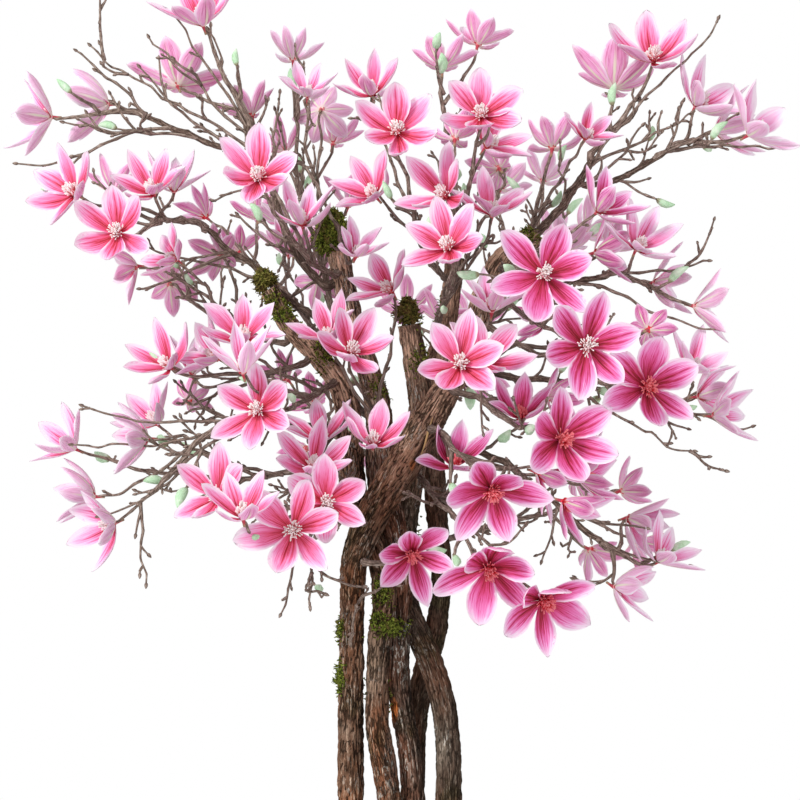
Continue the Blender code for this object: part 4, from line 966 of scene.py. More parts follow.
def wirySweep(places, startRadius, endRadius, sides, words, rooted=False):
    # A smooth line through the places, kinked a little at each knuckle, where it is also thicker
    rng = np.random.default_rng(wordSeed(words, 1))
    places = [np.array(place) for place in places]
    if rooted:
        places = [places[0] + unit(places[0] - places[1]) * wood["rootIn"]] + places
    length = sum(np.linalg.norm(b - a) for a, b in zip(places, places[1:]))
    count = max(5, int(length / wood["step"]))
    path = smoothPath(places, count)
    along = np.linspace(0, length, count)
    gap, shift = wood["knuckleGap"], wood["knuckleShift"]
    knuckles = np.arange(rng.uniform(*wood["firstKnuckle"]) * gap, length, gap)
    knuckles = knuckles + rng.uniform(-shift, shift, len(knuckles)) * gap
    radii = startRadius + (endRadius - startRadius) * (along / length) ** wood["taper"]
    if len(knuckles):
        marks = np.concatenate([[0], knuckles, [length]])
        offsets = rng.normal(size=(len(marks), 3)) * wood["kink"]
        offsets[[0, -1]] = 0
        path = path + readAt(along, marks, offsets)
        near = np.abs(along[:, None] - knuckles[None, :]).min(axis=1)
        radii = radii * (1 + wood["knuckle"] * np.exp(-(near / wood["knuckleWidth"]) ** 2))
    radii = radii * (1 + wood["collar"] * np.exp(-(along / wood["collarLength"]) ** 2))
    angle = anglesOf(sides)[None, :]
    ridge = sum((size * np.cos(number * angle + along[:, None] * turn)
                 for number, size, turn in wood["ridges"]), 1)
    return tubes(path[None], radii[None], sides, ridge), path


def keepsIn(path):  # whether a finer twig stays within the crown's own reach and out of the blooms
    inside = (path > reachLow + finer["edge"]).all() and (path < reachHigh - finer["edge"]).all()
    if not inside or path[:, 2].min() < finer["lowest"]:
        return False
    apart = path[:, None] - bloomFeet[None]
    far = np.linalg.norm(apart, axis=2)
    turned = np.arccos(np.clip((apart * bloomWays[None]).sum(axis=2) / (far + 1e-9), -1, 1))
    near = (far > finer["bloomFoot"]) & (far < finer["bloomReach"])
    return not (near & (turned < bloomLeans + finer["bloomMargin"])).any()


def endBud(place, way, radius):  # a short pointed brown bud at a twig's end
    path = np.array(place) + np.outer(np.array(endBuds["marks"]) * radius * endBuds["long"], way)
    return tubes(path[None], radius * np.array(endBuds["thick"])[None], endBuds["sides"])


def finerTwigs(path, level, words, start=0.0):
    # Twigs by the golden angle along a carrier: spurs, twigs with twigs of their own, and buds
    rng = np.random.default_rng(wordSeed(words, 3))
    parts, buds = [], []
    ways, sides, across = framesOf(path)
    length = np.linalg.norm(np.diff(path, axis=0), axis=1).sum()
    gap = finer["gap"][level]
    turn = rng.uniform(0, math.tau)
    for mark in np.arange(max(finer["first"] * length, start), finer["last"] * length, gap):
        turn += growth["golden"] + rng.uniform(-finer["turn"], finer["turn"])
        along = mark + rng.uniform(0, finer["slip"]) * gap
        spot = min(int(along / length * (len(path) - 1)), len(path) - 2)
        aside = math.cos(turn) * sides[spot] + math.sin(turn) * across[spot]
        fork = math.radians(rng.uniform(*finer["fork"]))
        way = math.cos(fork) * ways[spot] + math.sin(fork) * aside
        kind = rng.random()
        isSpur = kind < finer["spurShare"][level]
        reach = rng.uniform(*(finer["spur"] if isSpur else finer["long"][level]))
        lift = np.array([0, 0, 1]) * rng.uniform(*finer["lift"]) + rng.normal(size=3) * finer["sway"]
        bent = unit(way + lift * min(1.0, reach / finer["fullLift"]))
        run = np.array([path[spot] + way * reach * share
                        + (bent - way) * reach * share ** 2 * finer["bow"]
                        for share in np.linspace(0, 1.0, 5)])
        if not keepsIn(run[1:]):
            continue
        grown = finer["longRadius"] + finer["thicken"] * reach
        radius = finer["radius"] * (finer["shortRadius"] if reach < finer["shortReach"] else grown)
        made, line = wirySweep(run[[0, 2, 4]], radius, finer["tip"], wood["fineSides"],
                               f"{words} {mark:.4f}")
        parts.append(made)
        end = unit(line[-1] - line[-2])
        if kind > 1 - finer["budShare"]:
            buds.append((line[-1], end))
        else:
            parts.append(endBud(line[-1] - end * endBuds["sunk"], end,
                                finer["tip"] * rng.uniform(*endBuds["size"])))
        if reach > finer["onFrom"] and level < 3:
            more, moreBuds = finerTwigs(line, 3, f"{words} {mark:.4f} on", finer["onStart"])
            parts += more
            buds += moreBuds
    return parts, buds


bareTwigs = [  # bare twigs that the photograph shows: carrier, share of its length, tip
    ("bough_upper_left", 0.8, (-0.412, -0.02, 1.561)),
    ("bough_upper_left", 0.88, (-0.338, 0.02, 1.578)),
    ("bough_upper_left", 0.94, (-0.3, -0.01, 1.602)),
    ("bough_upper_left", 0.97, (-0.258, 0.03, 1.59)),
    ("bough_far_left", 0.75, (-0.512, -0.01, 1.404)), ("bough_far_left", 0.55, (-0.452, 0.01, 1.462)),
    ("bough_far_left", 0.3, (-0.345, -0.03, 1.53)), ("bough_left", 0.75, (-0.345, -0.02, 1.235)),
    ("bough_left", 0.55, (-0.35, 0.02, 1.3)), ("bough_low_left", 0.85, (-0.395, -0.06, 0.932)),
    ("bough_low_left", 0.6, (-0.436, -0.02, 1.026)), ("bough_low_left", 0.75, (-0.418, -0.05, 1.078)),
    ("bough_upper_right", 0.97, (0.432, 0.0, 1.6)), ("bough_upper_right", 0.85, (0.398, 0.02, 1.476)),
    ("bough_far_right", 0.95, (0.528, 0.01, 1.434)), ("bough_far_right", 0.8, (0.455, -0.01, 1.47)),
    ("bough_right", 0.9, (0.418, 0.0, 1.274)), ("bough_right", 0.7, (0.428, -0.03, 1.18)),
    ("bough_mid_right", 0.9, (0.476, -0.01, 1.05)), ("bough_mid_right", 0.65, (0.392, -0.05, 1.018)),
    ("bough_low_right", 0.95, (0.392, 0.0, 0.862)), ("bough_low_right", 0.75, (0.33, -0.04, 0.915)),
    ("stem_left", 0.44, (-0.055, -0.105, 0.815)), ("stem_left", 0.5, (-0.005, -0.1, 0.846)),
    ("bough_low_left", 0.1, (-0.152, -0.12, 0.808)), ("bough_low_left", 0.18, (-0.115, -0.11, 0.818)),
]
boughParts, twigParts, fineParts, greenBuds = [], [], [], []


def growFiner(line, level, words, start=0.0):
    more, buds = finerTwigs(line, level, words, start)
    fineParts.extend(more)
    greenBuds.extend(buds)


for bough in boughs:
    thick = wood["boughThin"] * np.array(bough["radii"])
    made, line = wirySweep(bough["path"], thick[0], thick[-1], wood["boughSides"], bough["name"],
                           rooted=True)
    boughParts.append(made)
    growFiner(line, 0, bough["name"])
for number, twig in enumerate(twigs):
    words = f"{twig['spray']} {number}"
    kind, level = ("main", 1) if twig["main"] else ("twig", 2)
    made, line = wirySweep(twig["path"], wood[kind + "Radius"], wood["tipRadius"],
                           wood[kind + "Sides"], words, twig["main"])
    twigParts.append(made)
    growFiner(line, level, words, wood[kind + "Start"])
for number, (carrier, share, tip) in enumerate(bareTwigs):
    base, along = placeOn(woods[carrier], share)
    straight = (Vector(tip) - base).normalized()
    startWay = (straight + along * wood["bareLean"]).normalized()
    endWay = (straight + up * wood["bareRise"]).normalized()
    path = archingPath(base, startWay, Vector(tip), endWay, growth["twigStep"],
                       growth["twigWander"], f"bare {number}")
    made, line = wirySweep(path, wood["bareRadius"], finer["tip"], wood["bareSides"],
                           f"bare twig {number}")
    end = unit(line[-1] - line[-2])
    fineParts += [made, endBud(line[-1] - end * endBuds["sunk"], end,
                               finer["tip"] * endBuds["bareSize"])]
    growFiner(line, 1, f"bare {number}", wood["bareStart"])

# Green buds end the rule's own bud twigs and some finer ones; the others end in a brown bud
ruled = [(np.array(twig["path"][-1]), np.array(twig["way"])) for twig in twigs if not twig["bloom"]]
spare = [pair for pair in greenBuds
         if all(np.linalg.norm(pair[0] - other[0]) > finer["budApart"] for other in ruled)]
random.Random(seeds["spare"]).shuffle(spare)
clear = [keepsIn((place + way * finer["budLength"])[None]) for place, way in spare]
picked = [pair for pair, free in zip(spare, clear) if free][:finer["mostBuds"] - len(ruled)]
greenEnds = ruled + picked
pickedPlaces = {tuple(place) for place, _ in picked}
fineParts += [endBud(place, way, finer["tip"] * endBuds["spareSize"]) for place, way in spare
              if tuple(place) not in pickedPlaces]
twigBark = painted("twig bark", wood)
half = len(fineParts) // 2
makePiece("bough_bark", boughParts, painted("bough bark", {**wood, **boughTones}),
          list(boughRows))
makePiece("spray_twigs", twigParts, twigBark, list(allSprays))
makePiece("fine_twigs_a", fineParts[:half], twigBark)
makePiece("fine_twigs_b", fineParts[half:], twigBark)
print("twigs:", len(twigParts) + len(fineParts), "parts,", len(greenEnds), "green buds")

# Blooms
petal = {
    "rows": 9, "columns": 6, "rowPower": 1.6, "cup": 0.075, "cupJitter": 0.4, "thick": 0.0008,
    "whorl": 4.0, "raise": 0.0018, "leanJitter": (9.0, 7.0), "bendJitter": (18.0, 14.0),
    "lengthJitter": 0.09, "widthJitter": 0.13, "slim": (0.31, 0.51), "slimOpen": (0.4, 0.86),
    "outerSlim": 0.05, "twist": 24.0, "twistFrom": 0.2, "turn": 7.0, "ripple": 0.0018,
    "waves": (8, 2.2), "fold": 0.0006, "folds": 3, "foot": 0.0015, "peak": 0.55, "base": 0.15,
    "risePower": 1.2, "tip": 0.05, "tipRound": 0.022, "fallPower": (1.75, 2.0),
    "point": (0.98, 0.66), "pointJitter": 0.13, "nod": 30.0, "nodFrom": 3.4, "nodLow": -0.3,
    "variants": 4, "margin": 0.04, "widestOpen": 0.9, "widest": 1.1, "asideFrom": 0.05,
    "turnedAside": 0.8, "awayFrom": 0.5, "turnedAway": 0.68, "behind": 0.81, "small": 0.76,
    "atEdge": 1.14, "paleOpen": 0.5,
}
petalLook = {  # noises; where each eased share starts and is full; how much each one takes
    "finish": (0.62, 0.25), "bump": (0.4, 0.0011), "relief": 0.8, "spread": (3.7, 1.9),
    "broad": ((2.6, 1.1, 1), 2, 0.5), "vein": ((7.5, 1.1, 1), 3, 0.6, 0.5),
    "fine": ((16.0, 2.6, 1), 3, 0.65, 0.5), "lineMix": (0.55, 0.45), "swingMix": (0.3, 0.7),
    "streak": (0.49, 0.58), "streakAside": (0.98, 0.45), "middle": (0.22, 0.02),
    "middleAlong": (0.85, 0.35), "fadeAlong": (1.0, 0.5), "inside": (0.9, 0.38, 1.7, 0.1, 0.14),
    "outside": (0.72, 0.26, 0.22, 2.2, 0.3), "ribWide": (0.09, 0.14), "rib": (0.0, 0.6),
    "ribAlong": (0.92, 0.4), "lineGap": 0.33, "line": (0.07, 0.01), "lineAlong": (0.7, 0.25),
    "root": (0.24, 0.04), "ribLess": 0.75, "edgeAlong": 0.96, "edgeRagged": 0.3,
    "rim": (0.76, 1.0), "rimAlong": (0.08, 0.4), "rimShare": 0.9,
}
petalRows = 1 - (1 - np.linspace(0, 1, petal["rows"] + 1)) ** petal["rowPower"]
petalColumns = np.linspace(-1, 1, petal["columns"] + 1)
tints = {
    "deep": {
        "inner": ((0.21, 0.01, 0.018), (0.42, 0.018, 0.048), (0.6, 0.044, 0.15),
                  (0.74, 0.1, 0.32), (0.86, 0.23, 0.54), (0.93, 0.48, 0.78),
                  (0.955, 0.77, 0.925)),
        "outer": ((0.336, 0.032, 0.116), (0.536, 0.083, 0.262), (0.735, 0.189, 0.446),
                  (0.892, 0.368, 0.66), (0.97, 0.589, 0.825)),
        "rim": (0.975, 0.85, 0.95), "rib": (0.83, 0.76, 0.6), "early": 0.0,
        "coral": (0.76, 0.014, 0.036), "salmon": (0.94, 0.06, 0.09), "cream": (0.97, 0.26, 0.29),
    },
    "rose": {
        "inner": ((0.35, 0.014, 0.024), (0.6, 0.042, 0.076), (0.76, 0.092, 0.2),
                  (0.85, 0.17, 0.37), (0.915, 0.31, 0.58), (0.945, 0.56, 0.8),
                  (0.96, 0.81, 0.93)),
        "outer": ((0.475, 0.132, 0.243), (0.664, 0.194, 0.392), (0.83, 0.306, 0.567),
                  (0.943, 0.467, 0.746), (0.97, 0.657, 0.867)),
        "rim": (0.98, 0.88, 0.96), "rib": (0.88, 0.82, 0.66), "early": 0.04,
        "coral": (0.8, 0.06, 0.08), "salmon": (0.94, 0.28, 0.29), "cream": (0.99, 0.89, 0.88),
    },
    "pale": {
        "inner": ((0.4, 0.024, 0.045), (0.66, 0.07, 0.145), (0.8, 0.145, 0.32),
                  (0.88, 0.27, 0.53), (0.925, 0.46, 0.73), (0.95, 0.68, 0.87),
                  (0.965, 0.85, 0.945)),
        "outer": ((0.622, 0.31, 0.441), (0.765, 0.374, 0.57), (0.882, 0.471, 0.709),
                  (0.956, 0.606, 0.832), (0.97, 0.735, 0.907)),
        "rim": (0.98, 0.89, 0.97), "rib": (0.89, 0.84, 0.7), "early": 0.07,
        "coral": (0.8, 0.08, 0.12), "salmon": (0.94, 0.38, 0.39), "cream": (0.99, 0.89, 0.88),
    },
}
edgeSprays = ("spray_far_left", "spray_far_right", "spray_top_left", "spray_upper_right")
smallSprays = ("spray_high_left", "spray_left_back", "spray_high_right", "spray_back_1", "spray_back_2")
redHearts = ("spray_front_far_right", "spray_front_right_low", "spray_front_low",
             "spray_front_lowest", "spray_trunk", "spray_back_left")
deepSprays = ("spray_front_right_high", "spray_front_right", "spray_front_far_right",
              "spray_front_right_low", "spray_front_low", "spray_front_lowest", "spray_trunk",
              "spray_back_left", "spray_back_2")
paleSprays = ("spray_far_left", "spray_far_right", "spray_right", "spray_mid_right",
              "spray_low_right", "spray_low_left", "spray_left_tip", "spray_high_left",
              "spray_back_4", "spray_back_right")


def bloomFrames(chosen):  # foot, way, side, openness and size of the blooms, as arrays
    feet = np.array([twig["path"][-1] for twig in chosen])
    ways = unit(np.array([twig["way"] for twig in chosen]))
    sides = unit(np.array([twig["side"] for twig in chosen]))
    opens = np.array([twig["open"] for twig in chosen])
    rules = (
        (opens >= petal["widestOpen"], "widest"), (ways[:, 1] > petal["asideFrom"], "turnedAside"),
        (ways[:, 1] > petal["awayFrom"], "turnedAway"),
        ([not twig["lead"] or twig["spray"] not in sprayRows for twig in chosen], "behind"),
        ([twig["spray"] in smallSprays for twig in chosen], "small"),
        ([twig["spray"] in edgeSprays for twig in chosen], "atEdge"))
    sizes = np.ones(len(chosen))
    for isSo, size in rules:
        sizes = np.where(isSo, petal[size], sizes)
    return feet, ways, sides, opens, sizes


def tepalSheets(chosen, seed):
    # Each tepal: foot + length t (sin lean outward + cos lean way), lean easing with t; from it
    # half a width times its outline aside, and a cup of the aside squared toward the bloom's heart
    rng = np.random.default_rng(seed)
    feet, ways, sides, opens, sizes = bloomFrames(chosen)
    count = flower["tepals"]
    amount = len(feet) * count
    numbers = np.tile(np.arange(count), len(feet))
    feet, ways, sides = (np.repeat(array, count, axis=0) for array in (feet, ways, sides))
    opens, sizes = np.repeat(opens, count), np.repeat(sizes, count)
    outer = numbers % 2

    def jitter(size):
        return rng.uniform(-size, size, amount)

    def between(pair):  # from the first value on closed blooms to the second on open ones
        return pair[0] + (pair[1] - pair[0]) * wide

    angle = math.tau * (numbers + 0.5) / count
    angle = (angle + np.radians(jitter(petal["turn"])))[:, None]
    closed, full = petal["slimOpen"]
    wide = np.clip((opens - closed) / (full - closed), 0, 1)
    across = np.cross(ways, sides)
    outward, aside = aimed(angle, sides, across), aimed(angle, across, -sides)
    spread = flower["closed"] + flower["span"] * opens + jitter(1) * between(petal["leanJitter"])
    spread = spread + petal["whorl"] * (2 * outer - 1)
    nods = petal["nod"] * np.clip(-petal["nodFrom"] * ways[:, 2], 0, 1)
    spread = spread - nods * np.clip(outward[:, 2], petal["nodLow"], 1)
    bend = flower["bend"] * opens + jitter(1) * between(petal["bendJitter"])
    length = flower["length"] * sizes * (1 + jitter(petal["lengthJitter"]))
    width = between(petal["slim"]) / 2 * flower["length"] * sizes
    width = width * (1 + jitter(petal["widthJitter"]) - petal["outerSlim"] * outer)
    point = (between(petal["point"]) + jitter(petal["pointJitter"]))[:, None, None]
    fallPower = between(petal["fallPower"])[:, None, None]
    t, a = petalRows[None, :, None], petalColumns[None, None, :]
    share = t - petal["tipRound"] * a ** 2 * t ** 3
    rise = np.sin(math.pi / 2 * np.clip(t / petal["peak"], 0, 1)) ** petal["risePower"]
    past = np.clip((t - petal["peak"]) / (1 - petal["peak"]), 0, 1)
    fall = petal["tip"] + (1 - petal["tip"]) * (1 - past ** fallPower) ** point
    outline = (petal["base"] + (1 - petal["base"]) * rise) * fall
    lean = np.radians(spread[:, None, None] - bend[:, None, None] * (share - flower["middle"]))
    lean, outwards, wayward = lean[..., None], outward[:, None, None], ways[:, None, None]
    reach, inward = aimed(lean, wayward, outwards), aimed(lean, -outwards, wayward)
    twist = np.radians(jitter(petal["twist"]))[:, None, None, None]
    twist = twist * (share[..., None] - petal["twistFrom"])
    aside = aside[:, None, None]
    tilted, facing = aimed(twist, aside, inward), aimed(twist, inward, -aside)
    half = width[:, None, None] * outline
    phase = rng.uniform(0, math.tau, (amount, 1, 1))
    perLength, perSide = petal["waves"]
    wave = np.abs(a) ** 3 * np.sin(phase + perLength * t + perSide * np.sign(a)) * petal["ripple"]
    cupping = petal["cup"] * flower["length"] * (1 + jitter(petal["cupJitter"]))[:, None, None]
    fold = petal["fold"] * np.cos(math.pi * petal["folds"] * a)
    lift = (cupping * a ** 2 + wave - fold) * outline + petal["raise"] * (1 - outer)[:, None, None]
    along = outwards * petal["foot"] + reach * (length[:, None, None] * share)[..., None]
    top = feet[:, None, None] + along + tilted * (half * a)[..., None] + facing * lift[..., None]
    under = (top - facing * petal["thick"])[:, 1:-1, 1:-1]
    points = np.concatenate([top.reshape(amount, -1, 3), under.reshape(amount, -1, 3)], axis=1)
    onRim = np.ones(top.shape[1:3], bool)
    onRim[1:-1, 1:-1] = False
    onRim = np.concatenate([onRim.ravel(), np.zeros(under.shape[1] * under.shape[2], bool)])
    return points.reshape(-1, 3), amount, np.tile(onRim, amount)


def tepalFaces(amount, seed):
    # The inner face and, wound the other way, the outer one; both share the border's points.
    # The map holds the inner face in its upper half and the outer one below, in upright strips
    rows, columns = petal["rows"] + 1, petal["columns"] + 1
    inner = np.arange(rows * columns).reshape(rows, columns)
    outer = inner.copy()
    outer[1:-1, 1:-1] = rows * columns + np.arange((rows - 2) * (columns - 2)).reshape(rows - 2, -1)
    t, a = np.meshgrid(petalRows, petalColumns, indexing="ij")
    margin = petal["margin"]
    aside, upward = margin + (1 - 2 * margin) * (a + 1) / 2, (margin + (1 - 2 * margin) * t) / 2
    faces, maps = [], []
    for grid, low, turns in ((inner, 0.5, (0, 1, 2, 3)), (outer, 0.0, (3, 2, 1, 0))):
        for values, made in ((grid, faces), (np.stack([aside, upward + low], axis=-1), maps)):
            corners = [values[:-1, :-1], values[1:, :-1], values[1:, 1:], values[:-1, 1:]]
            made.append(np.stack([corners[turn] for turn in turns], axis=2)
                        .reshape(-1, 4, *values.shape[2:]))
    mapped = np.tile(np.concatenate(maps), (amount, 1, 1)).reshape(amount, -1, 4, 2)
    variant = np.random.default_rng(seed).integers(0, petal["variants"], amount)[:, None, None]
    mapped[..., 0] = (mapped[..., 0] + variant) / petal["variants"]
    total = rows * columns + (rows - 2) * (columns - 2)
    faces = np.concatenate(faces)[None] + (np.arange(amount) * total)[:, None, None]
    return faces.reshape(-1, 4), mapped.reshape(-1, 4, 2)


def petalMaterial(name, tones):
    # Inside, tones by way along and squared way aside, shifted by streaks and a deeper middle;
    # outside the same from the tip, with a pale rib and side lines; both end in a light rim
    look = petalLook
    made, tree, shader = newMaterial(name, *look["finish"])
    mapped, upward = mapPlaces(tree)
    margin = petal["margin"]
    strip = mapped * petal["variants"]
    aside = (strip.calc("FRACT") - 0.5) / (0.5 - margin)
    width = aside.calc("ABSOLUTE")
    isInner = upward.calc("GREATER_THAN", 0.5)
    along = ((upward * 2.0).calc("FRACT") - margin) / (1 - 2 * margin)
    perStrip, perFace = look["spread"]
    apart = strip.calc("FLOOR") * perStrip + isInner * perFace
    seat = node(tree, "CombineXYZ", {0: aside, 1: along, 2: apart})
    broad, vein, fine = (noise(stretched(seat, stretch), 1.0, *rest) for stretch, *rest
                         in (look["broad"], look["vein"], look["fine"]))
    lines = vein * look["lineMix"][0] + fine * look["lineMix"][1]
    swing = broad * look["swingMix"][0] + lines * look["swingMix"][1] - 0.5
    streak = lines.ease(*look["streak"]) * width.ease(*look["streakAside"])
    middle = width.ease(*look["middle"]) * along.ease(*look["middleAlong"])
    faded = streak * along.ease(*look["fadeAlong"])
    perWay, perAside, perSwing, perMiddle, perStreak = look["inside"]
    reach = along * perWay + tones["early"] + width * width * perAside
    reach = reach - swing * perSwing - middle * perMiddle - faded * perStreak
    start, perWay, perAside, perSwing, perStreak = look["outside"]
    back = start - along * perWay + width * width * perAside - swing * perSwing
    rib = 1.0 - width / ((1.0 - along) * look["ribWide"][1] + look["ribWide"][0])
    rib = rib.ease(*look["rib"]) * along.ease(*look["ribAlong"])
    line = width.calc("PINGPONG", look["lineGap"]).ease(*look["line"])
    line = (line * along.ease(*look["lineAlong"])).calc("MAXIMUM", along.ease(*look["root"]))
    pale = rib.calc("MAXIMUM", line * look["ribLess"])
    outside = blend(pale, ramp(back - streak * perStreak, tones["outer"]), tones["rib"])
    edge = width.calc("MAXIMUM", along * look["edgeAlong"]) + (fine - 0.5) * look["edgeRagged"]
    rim = edge.ease(*look["rim"]) * along.ease(*look["rimAlong"]) * look["rimShare"]
    tone = blend(rim, blend(isInner, outside, ramp(reach, tones["inner"])), tones["rim"])
    feed(shader.inputs["Base Color"], tone)
    bump(shader, vein + fine * look["relief"], *look["bump"])
    return made


def tintOf(twig):
    if twig["spray"] in deepSprays:
        return "deep"
    return "pale" if twig["spray"] in paleSprays or twig["open"] < petal["paleOpen"] else "rose"


for number, (tint, tones) in enumerate(tints.items()):
    chosen = [twig for twig in blooms if tintOf(twig) == tint]
    points, amount, onRim = tepalSheets(chosen, seeds["tepals"] + number)
    faces, mapped = tepalFaces(amount, seeds["variants"] + number)
    makePiece("tepals_" + tint, [part(points, faces, maps=(mapped, None), rim=onRim)],
              petalMaterial(tint + " tepal", tones), list(allSprays))

# Hearts of the blooms: cone, stamens and stalk
heart = {
    "stamens": 62, "stamenPower": 0.6, "stamenRing": (0.0012, 0.005),
    "stamenOut": (0.0012, 0.0122), "outOpen": (0.5, 0.55), "outJitter": (0.85, 1.15),
    "stamenRise": (0.0225, 0.0098), "riseJitter": (0.82, 1.1), "stamenFoot": 0.002,
    "stamenMarks": (0, 0.6, 1.0), "stamenBow": 1.9, "stamenShake": 0.0003,
    "stamenThick": (0.00062, 0.00062, 0.00095), "stamenSides": 3, "coneHeight": 0.018,
    "coneThick": (0.0034, 0.0046, 0.0046, 0.0034, 0.0014), "coneOpen": (0.8, 0.25),
    "coneSides": 7, "hairs": 30, "hairFrom": 0.25, "hairLong": (0.0025, 0.0055),
    "hairSunk": 0.8, "hairLean": (2.4, 0.2), "hairThick": (0.00065, 0.000455),
    "stalk": 0.012, "stalkThick": (0.0018, 0.0019, 0.0026, 0.003), "stalkOn": 0.003,
    "stalkSides": 6, "stamenCell": (0.0, 0.32), "coneCell": (0.34, 0.66),
    "stalkCell": (0.68, 1.0), "stamenEnd": 0.33, "coneEnd": 0.67,
    "stalkTone": (0.52, 0.06, 0.09), "stalkGreen": (0.42, 0.3, 0.19),
    "salmonAlong": (0.1, 0.45), "creamAlong": (0.42, 0.82), "coneAlong": (0.15, 0.6),
    "stalkAlong": (0.05, 0.45), "finish": (0.6,),
}


def heartParts(chosen, seed):
    # Stamens bow out from a ring round the way; hairs stand on the cone; a stalk holds the bloom
    rng = np.random.default_rng(seed)
    feet, ways, sides, opens, sizes = bloomFrames(chosen)
    across = np.cross(ways, sides)
    tall = sizes[:, None, None]

    def fan(amount, low, high):  # turn about the way, and a share, of each of some rays a bloom
        turn = rng.uniform(0, math.tau, (len(feet), amount))
        share = rng.uniform(low, high, (len(feet), amount))
        return aimed(turn[..., None], sides[:, None], across[:, None]), share[..., None]

    def between(key, share):
        return heart[key][0] + share * (heart[key][1] - heart[key][0])

    def tubesOf(paths, thick, kind, cell):
        return tubes(paths, thick, heart[kind + "Sides"], cell=heart[cell + "Cell"])

    ray, share = fan(heart["stamens"], 0, 1)
    share = share ** heart["stamenPower"]
    ring = between("stamenRing", share)
    least, more = heart["outOpen"]
    out = between("stamenOut", share) * (least + more * opens[:, None, None]) * tall
    out = out * rng.uniform(*heart["outJitter"], share.shape)
    rise = between("stamenRise", share ** 2) * tall * rng.uniform(*heart["riseJitter"], share.shape)
    marks = np.array(heart["stamenMarks"])[:, None]
    upward = heart["stamenFoot"] + rise[:, :, None] * marks
    aside = ring[:, :, None] + (out - ring)[:, :, None] * marks ** heart["stamenBow"]
    stamens = feet[:, None, None] + ways[:, None, None] * upward + ray[:, :, None] * aside
    stamens = stamens.reshape(-1, len(marks), 3)
    stamens = stamens + rng.normal(size=stamens.shape) * heart["stamenShake"]
    parts = [tubesOf(stamens, np.tile(heart["stamenThick"], (len(stamens), 1)), "stamen", "stamen")]
    levels = np.linspace(0, 1, len(heart["coneThick"]))
    cones = feet[:, None] + ways[:, None] * (levels * heart["coneHeight"])[:, None] * tall
    least, more = heart["coneOpen"]
    thick = np.tile(heart["coneThick"], (len(cones), 1)) * (least + more * opens[:, None])
    parts.append(tubesOf(cones, thick, "cone", "cone"))
    ray, share = fan(heart["hairs"], heart["hairFrom"], 1.0)
    longs = rng.uniform(*heart["hairLong"], share.shape)
    radius = np.interp(share, levels, heart["coneThick"]) * heart["hairSunk"]
    seat = feet[:, None] + ways[:, None] * share * heart["coneHeight"] * tall + ray * radius
    rising, least = heart["hairLean"]
    lean = unit(ray + ways[:, None] * (share * rising - least))
    hairs = np.stack([seat, seat + lean * longs], axis=2).reshape(-1, 2, 3)
    parts.append(tubesOf(hairs, np.tile(heart["hairThick"], (len(hairs), 1)), "stamen", "cone"))
    ends = np.array([(twig["path"][-1] - twig["path"][-2]).normalized() for twig in chosen])
    bent = unit(ends + ways) * heart["stalk"]
    stalks = np.stack([feet - bent, feet - bent * 0.5, feet, feet + ways * heart["stalkOn"]], axis=1)
    parts.append(tubesOf(stalks, np.tile(heart["stalkThick"], (len(feet), 1)), "stalk", "stalk"))
    return parts


def heartMaterial(name, tones):
    # Each third of the map has its own run of tones upward: stamens, cone and stalk
    made, tree, shader = newMaterial(name, *heart["finish"])
    across, along = mapPlaces(tree)
    stamen = blend(along.ease(*heart["salmonAlong"]), tones["coral"], tones["salmon"])
    stamen = blend(along.ease(*heart["creamAlong"]), stamen, tones["cream"])
    cone = blend(along.ease(*heart["coneAlong"]), tones["salmon"], tones["cream"])
    stalk = blend(along.ease(*heart["stalkAlong"]), heart["stalkGreen"], heart["stalkTone"])
    tone = blend(across.calc("GREATER_THAN", heart["stamenEnd"]), stamen, cone)
    tone = blend(across.calc("GREATER_THAN", heart["coneEnd"]), tone, stalk)
    feed(shader.inputs["Base Color"], tone)
    return made


heartKinds = {"deep": [twig for twig in blooms if twig["spray"] in redHearts]}
for tint in ("rose", "pale"):
    heartKinds[tint] = [twig for twig in blooms if twig["spray"] not in redHearts
                        and (tintOf(twig) == "pale") == (tint == "pale")]
for number, (tint, chosen) in enumerate(heartKinds.items()):
    makePiece("hearts_" + tint, heartParts(chosen, seeds["hearts"] + number),
              heartMaterial(tint + " heart", tints[tint]), list(allSprays))

# Green buds
bud = {
    "long": 0.03, "thick": (0.0024, 0.0052, 0.0066, 0.0062, 0.0038, 0.0009),
    "marks": (0.0, 0.14, 0.36, 0.6, 0.84, 1.0), "curve": 0.004, "size": (0.75, 1.1),
    "sides": 7, "thickJitter": (0.85, 1.1), "flat": 0.12, "mint": (0.58, 0.83, 0.58),
    "shade": (0.43, 0.68, 0.4), "light": (0.78, 0.93, 0.74), "stalk": (0.3, 0.23, 0.12),
    "finish": (0.7,), "first": "shade", "relief": {"fuzz": 1.0}, "bump": (0.4, 0.0008),
    "fields": {"fuzz": ("grain", (1, 1, 0.35), 900, 3, 0.65), "patch": ("place", None, 60, 2, 0.5),
               "foot": ("along",)},
    "layers": (("mint", 1.0, ("fuzz", 0.36, 0.62)), ("light", 1.0, ("patch", 0.45, 0.75)),
               ("stalk", 0.8, ("foot", 0.0055, 0.0015))),
}
rng = np.random.default_rng(seeds["buds"])
seats = np.array([place for place, _ in greenEnds])
ways = unit(np.array([way for _, way in greenEnds]))
sideways = unit(np.cross(ways, unit(rng.normal(size=ways.shape))))
sizes = rng.uniform(*bud["size"], len(seats))[:, None, None]
marks = np.array(bud["marks"])[None, :, None]
budPaths = (seats[:, None] + ways[:, None] * marks * bud["long"] * sizes
            + sideways[:, None] * np.sin(math.pi * marks) * bud["curve"] * sizes)
budRadii = np.array(bud["thick"])[None] * sizes[..., 0]
budRadii = budRadii * rng.uniform(*bud["thickJitter"], (len(seats), 1))
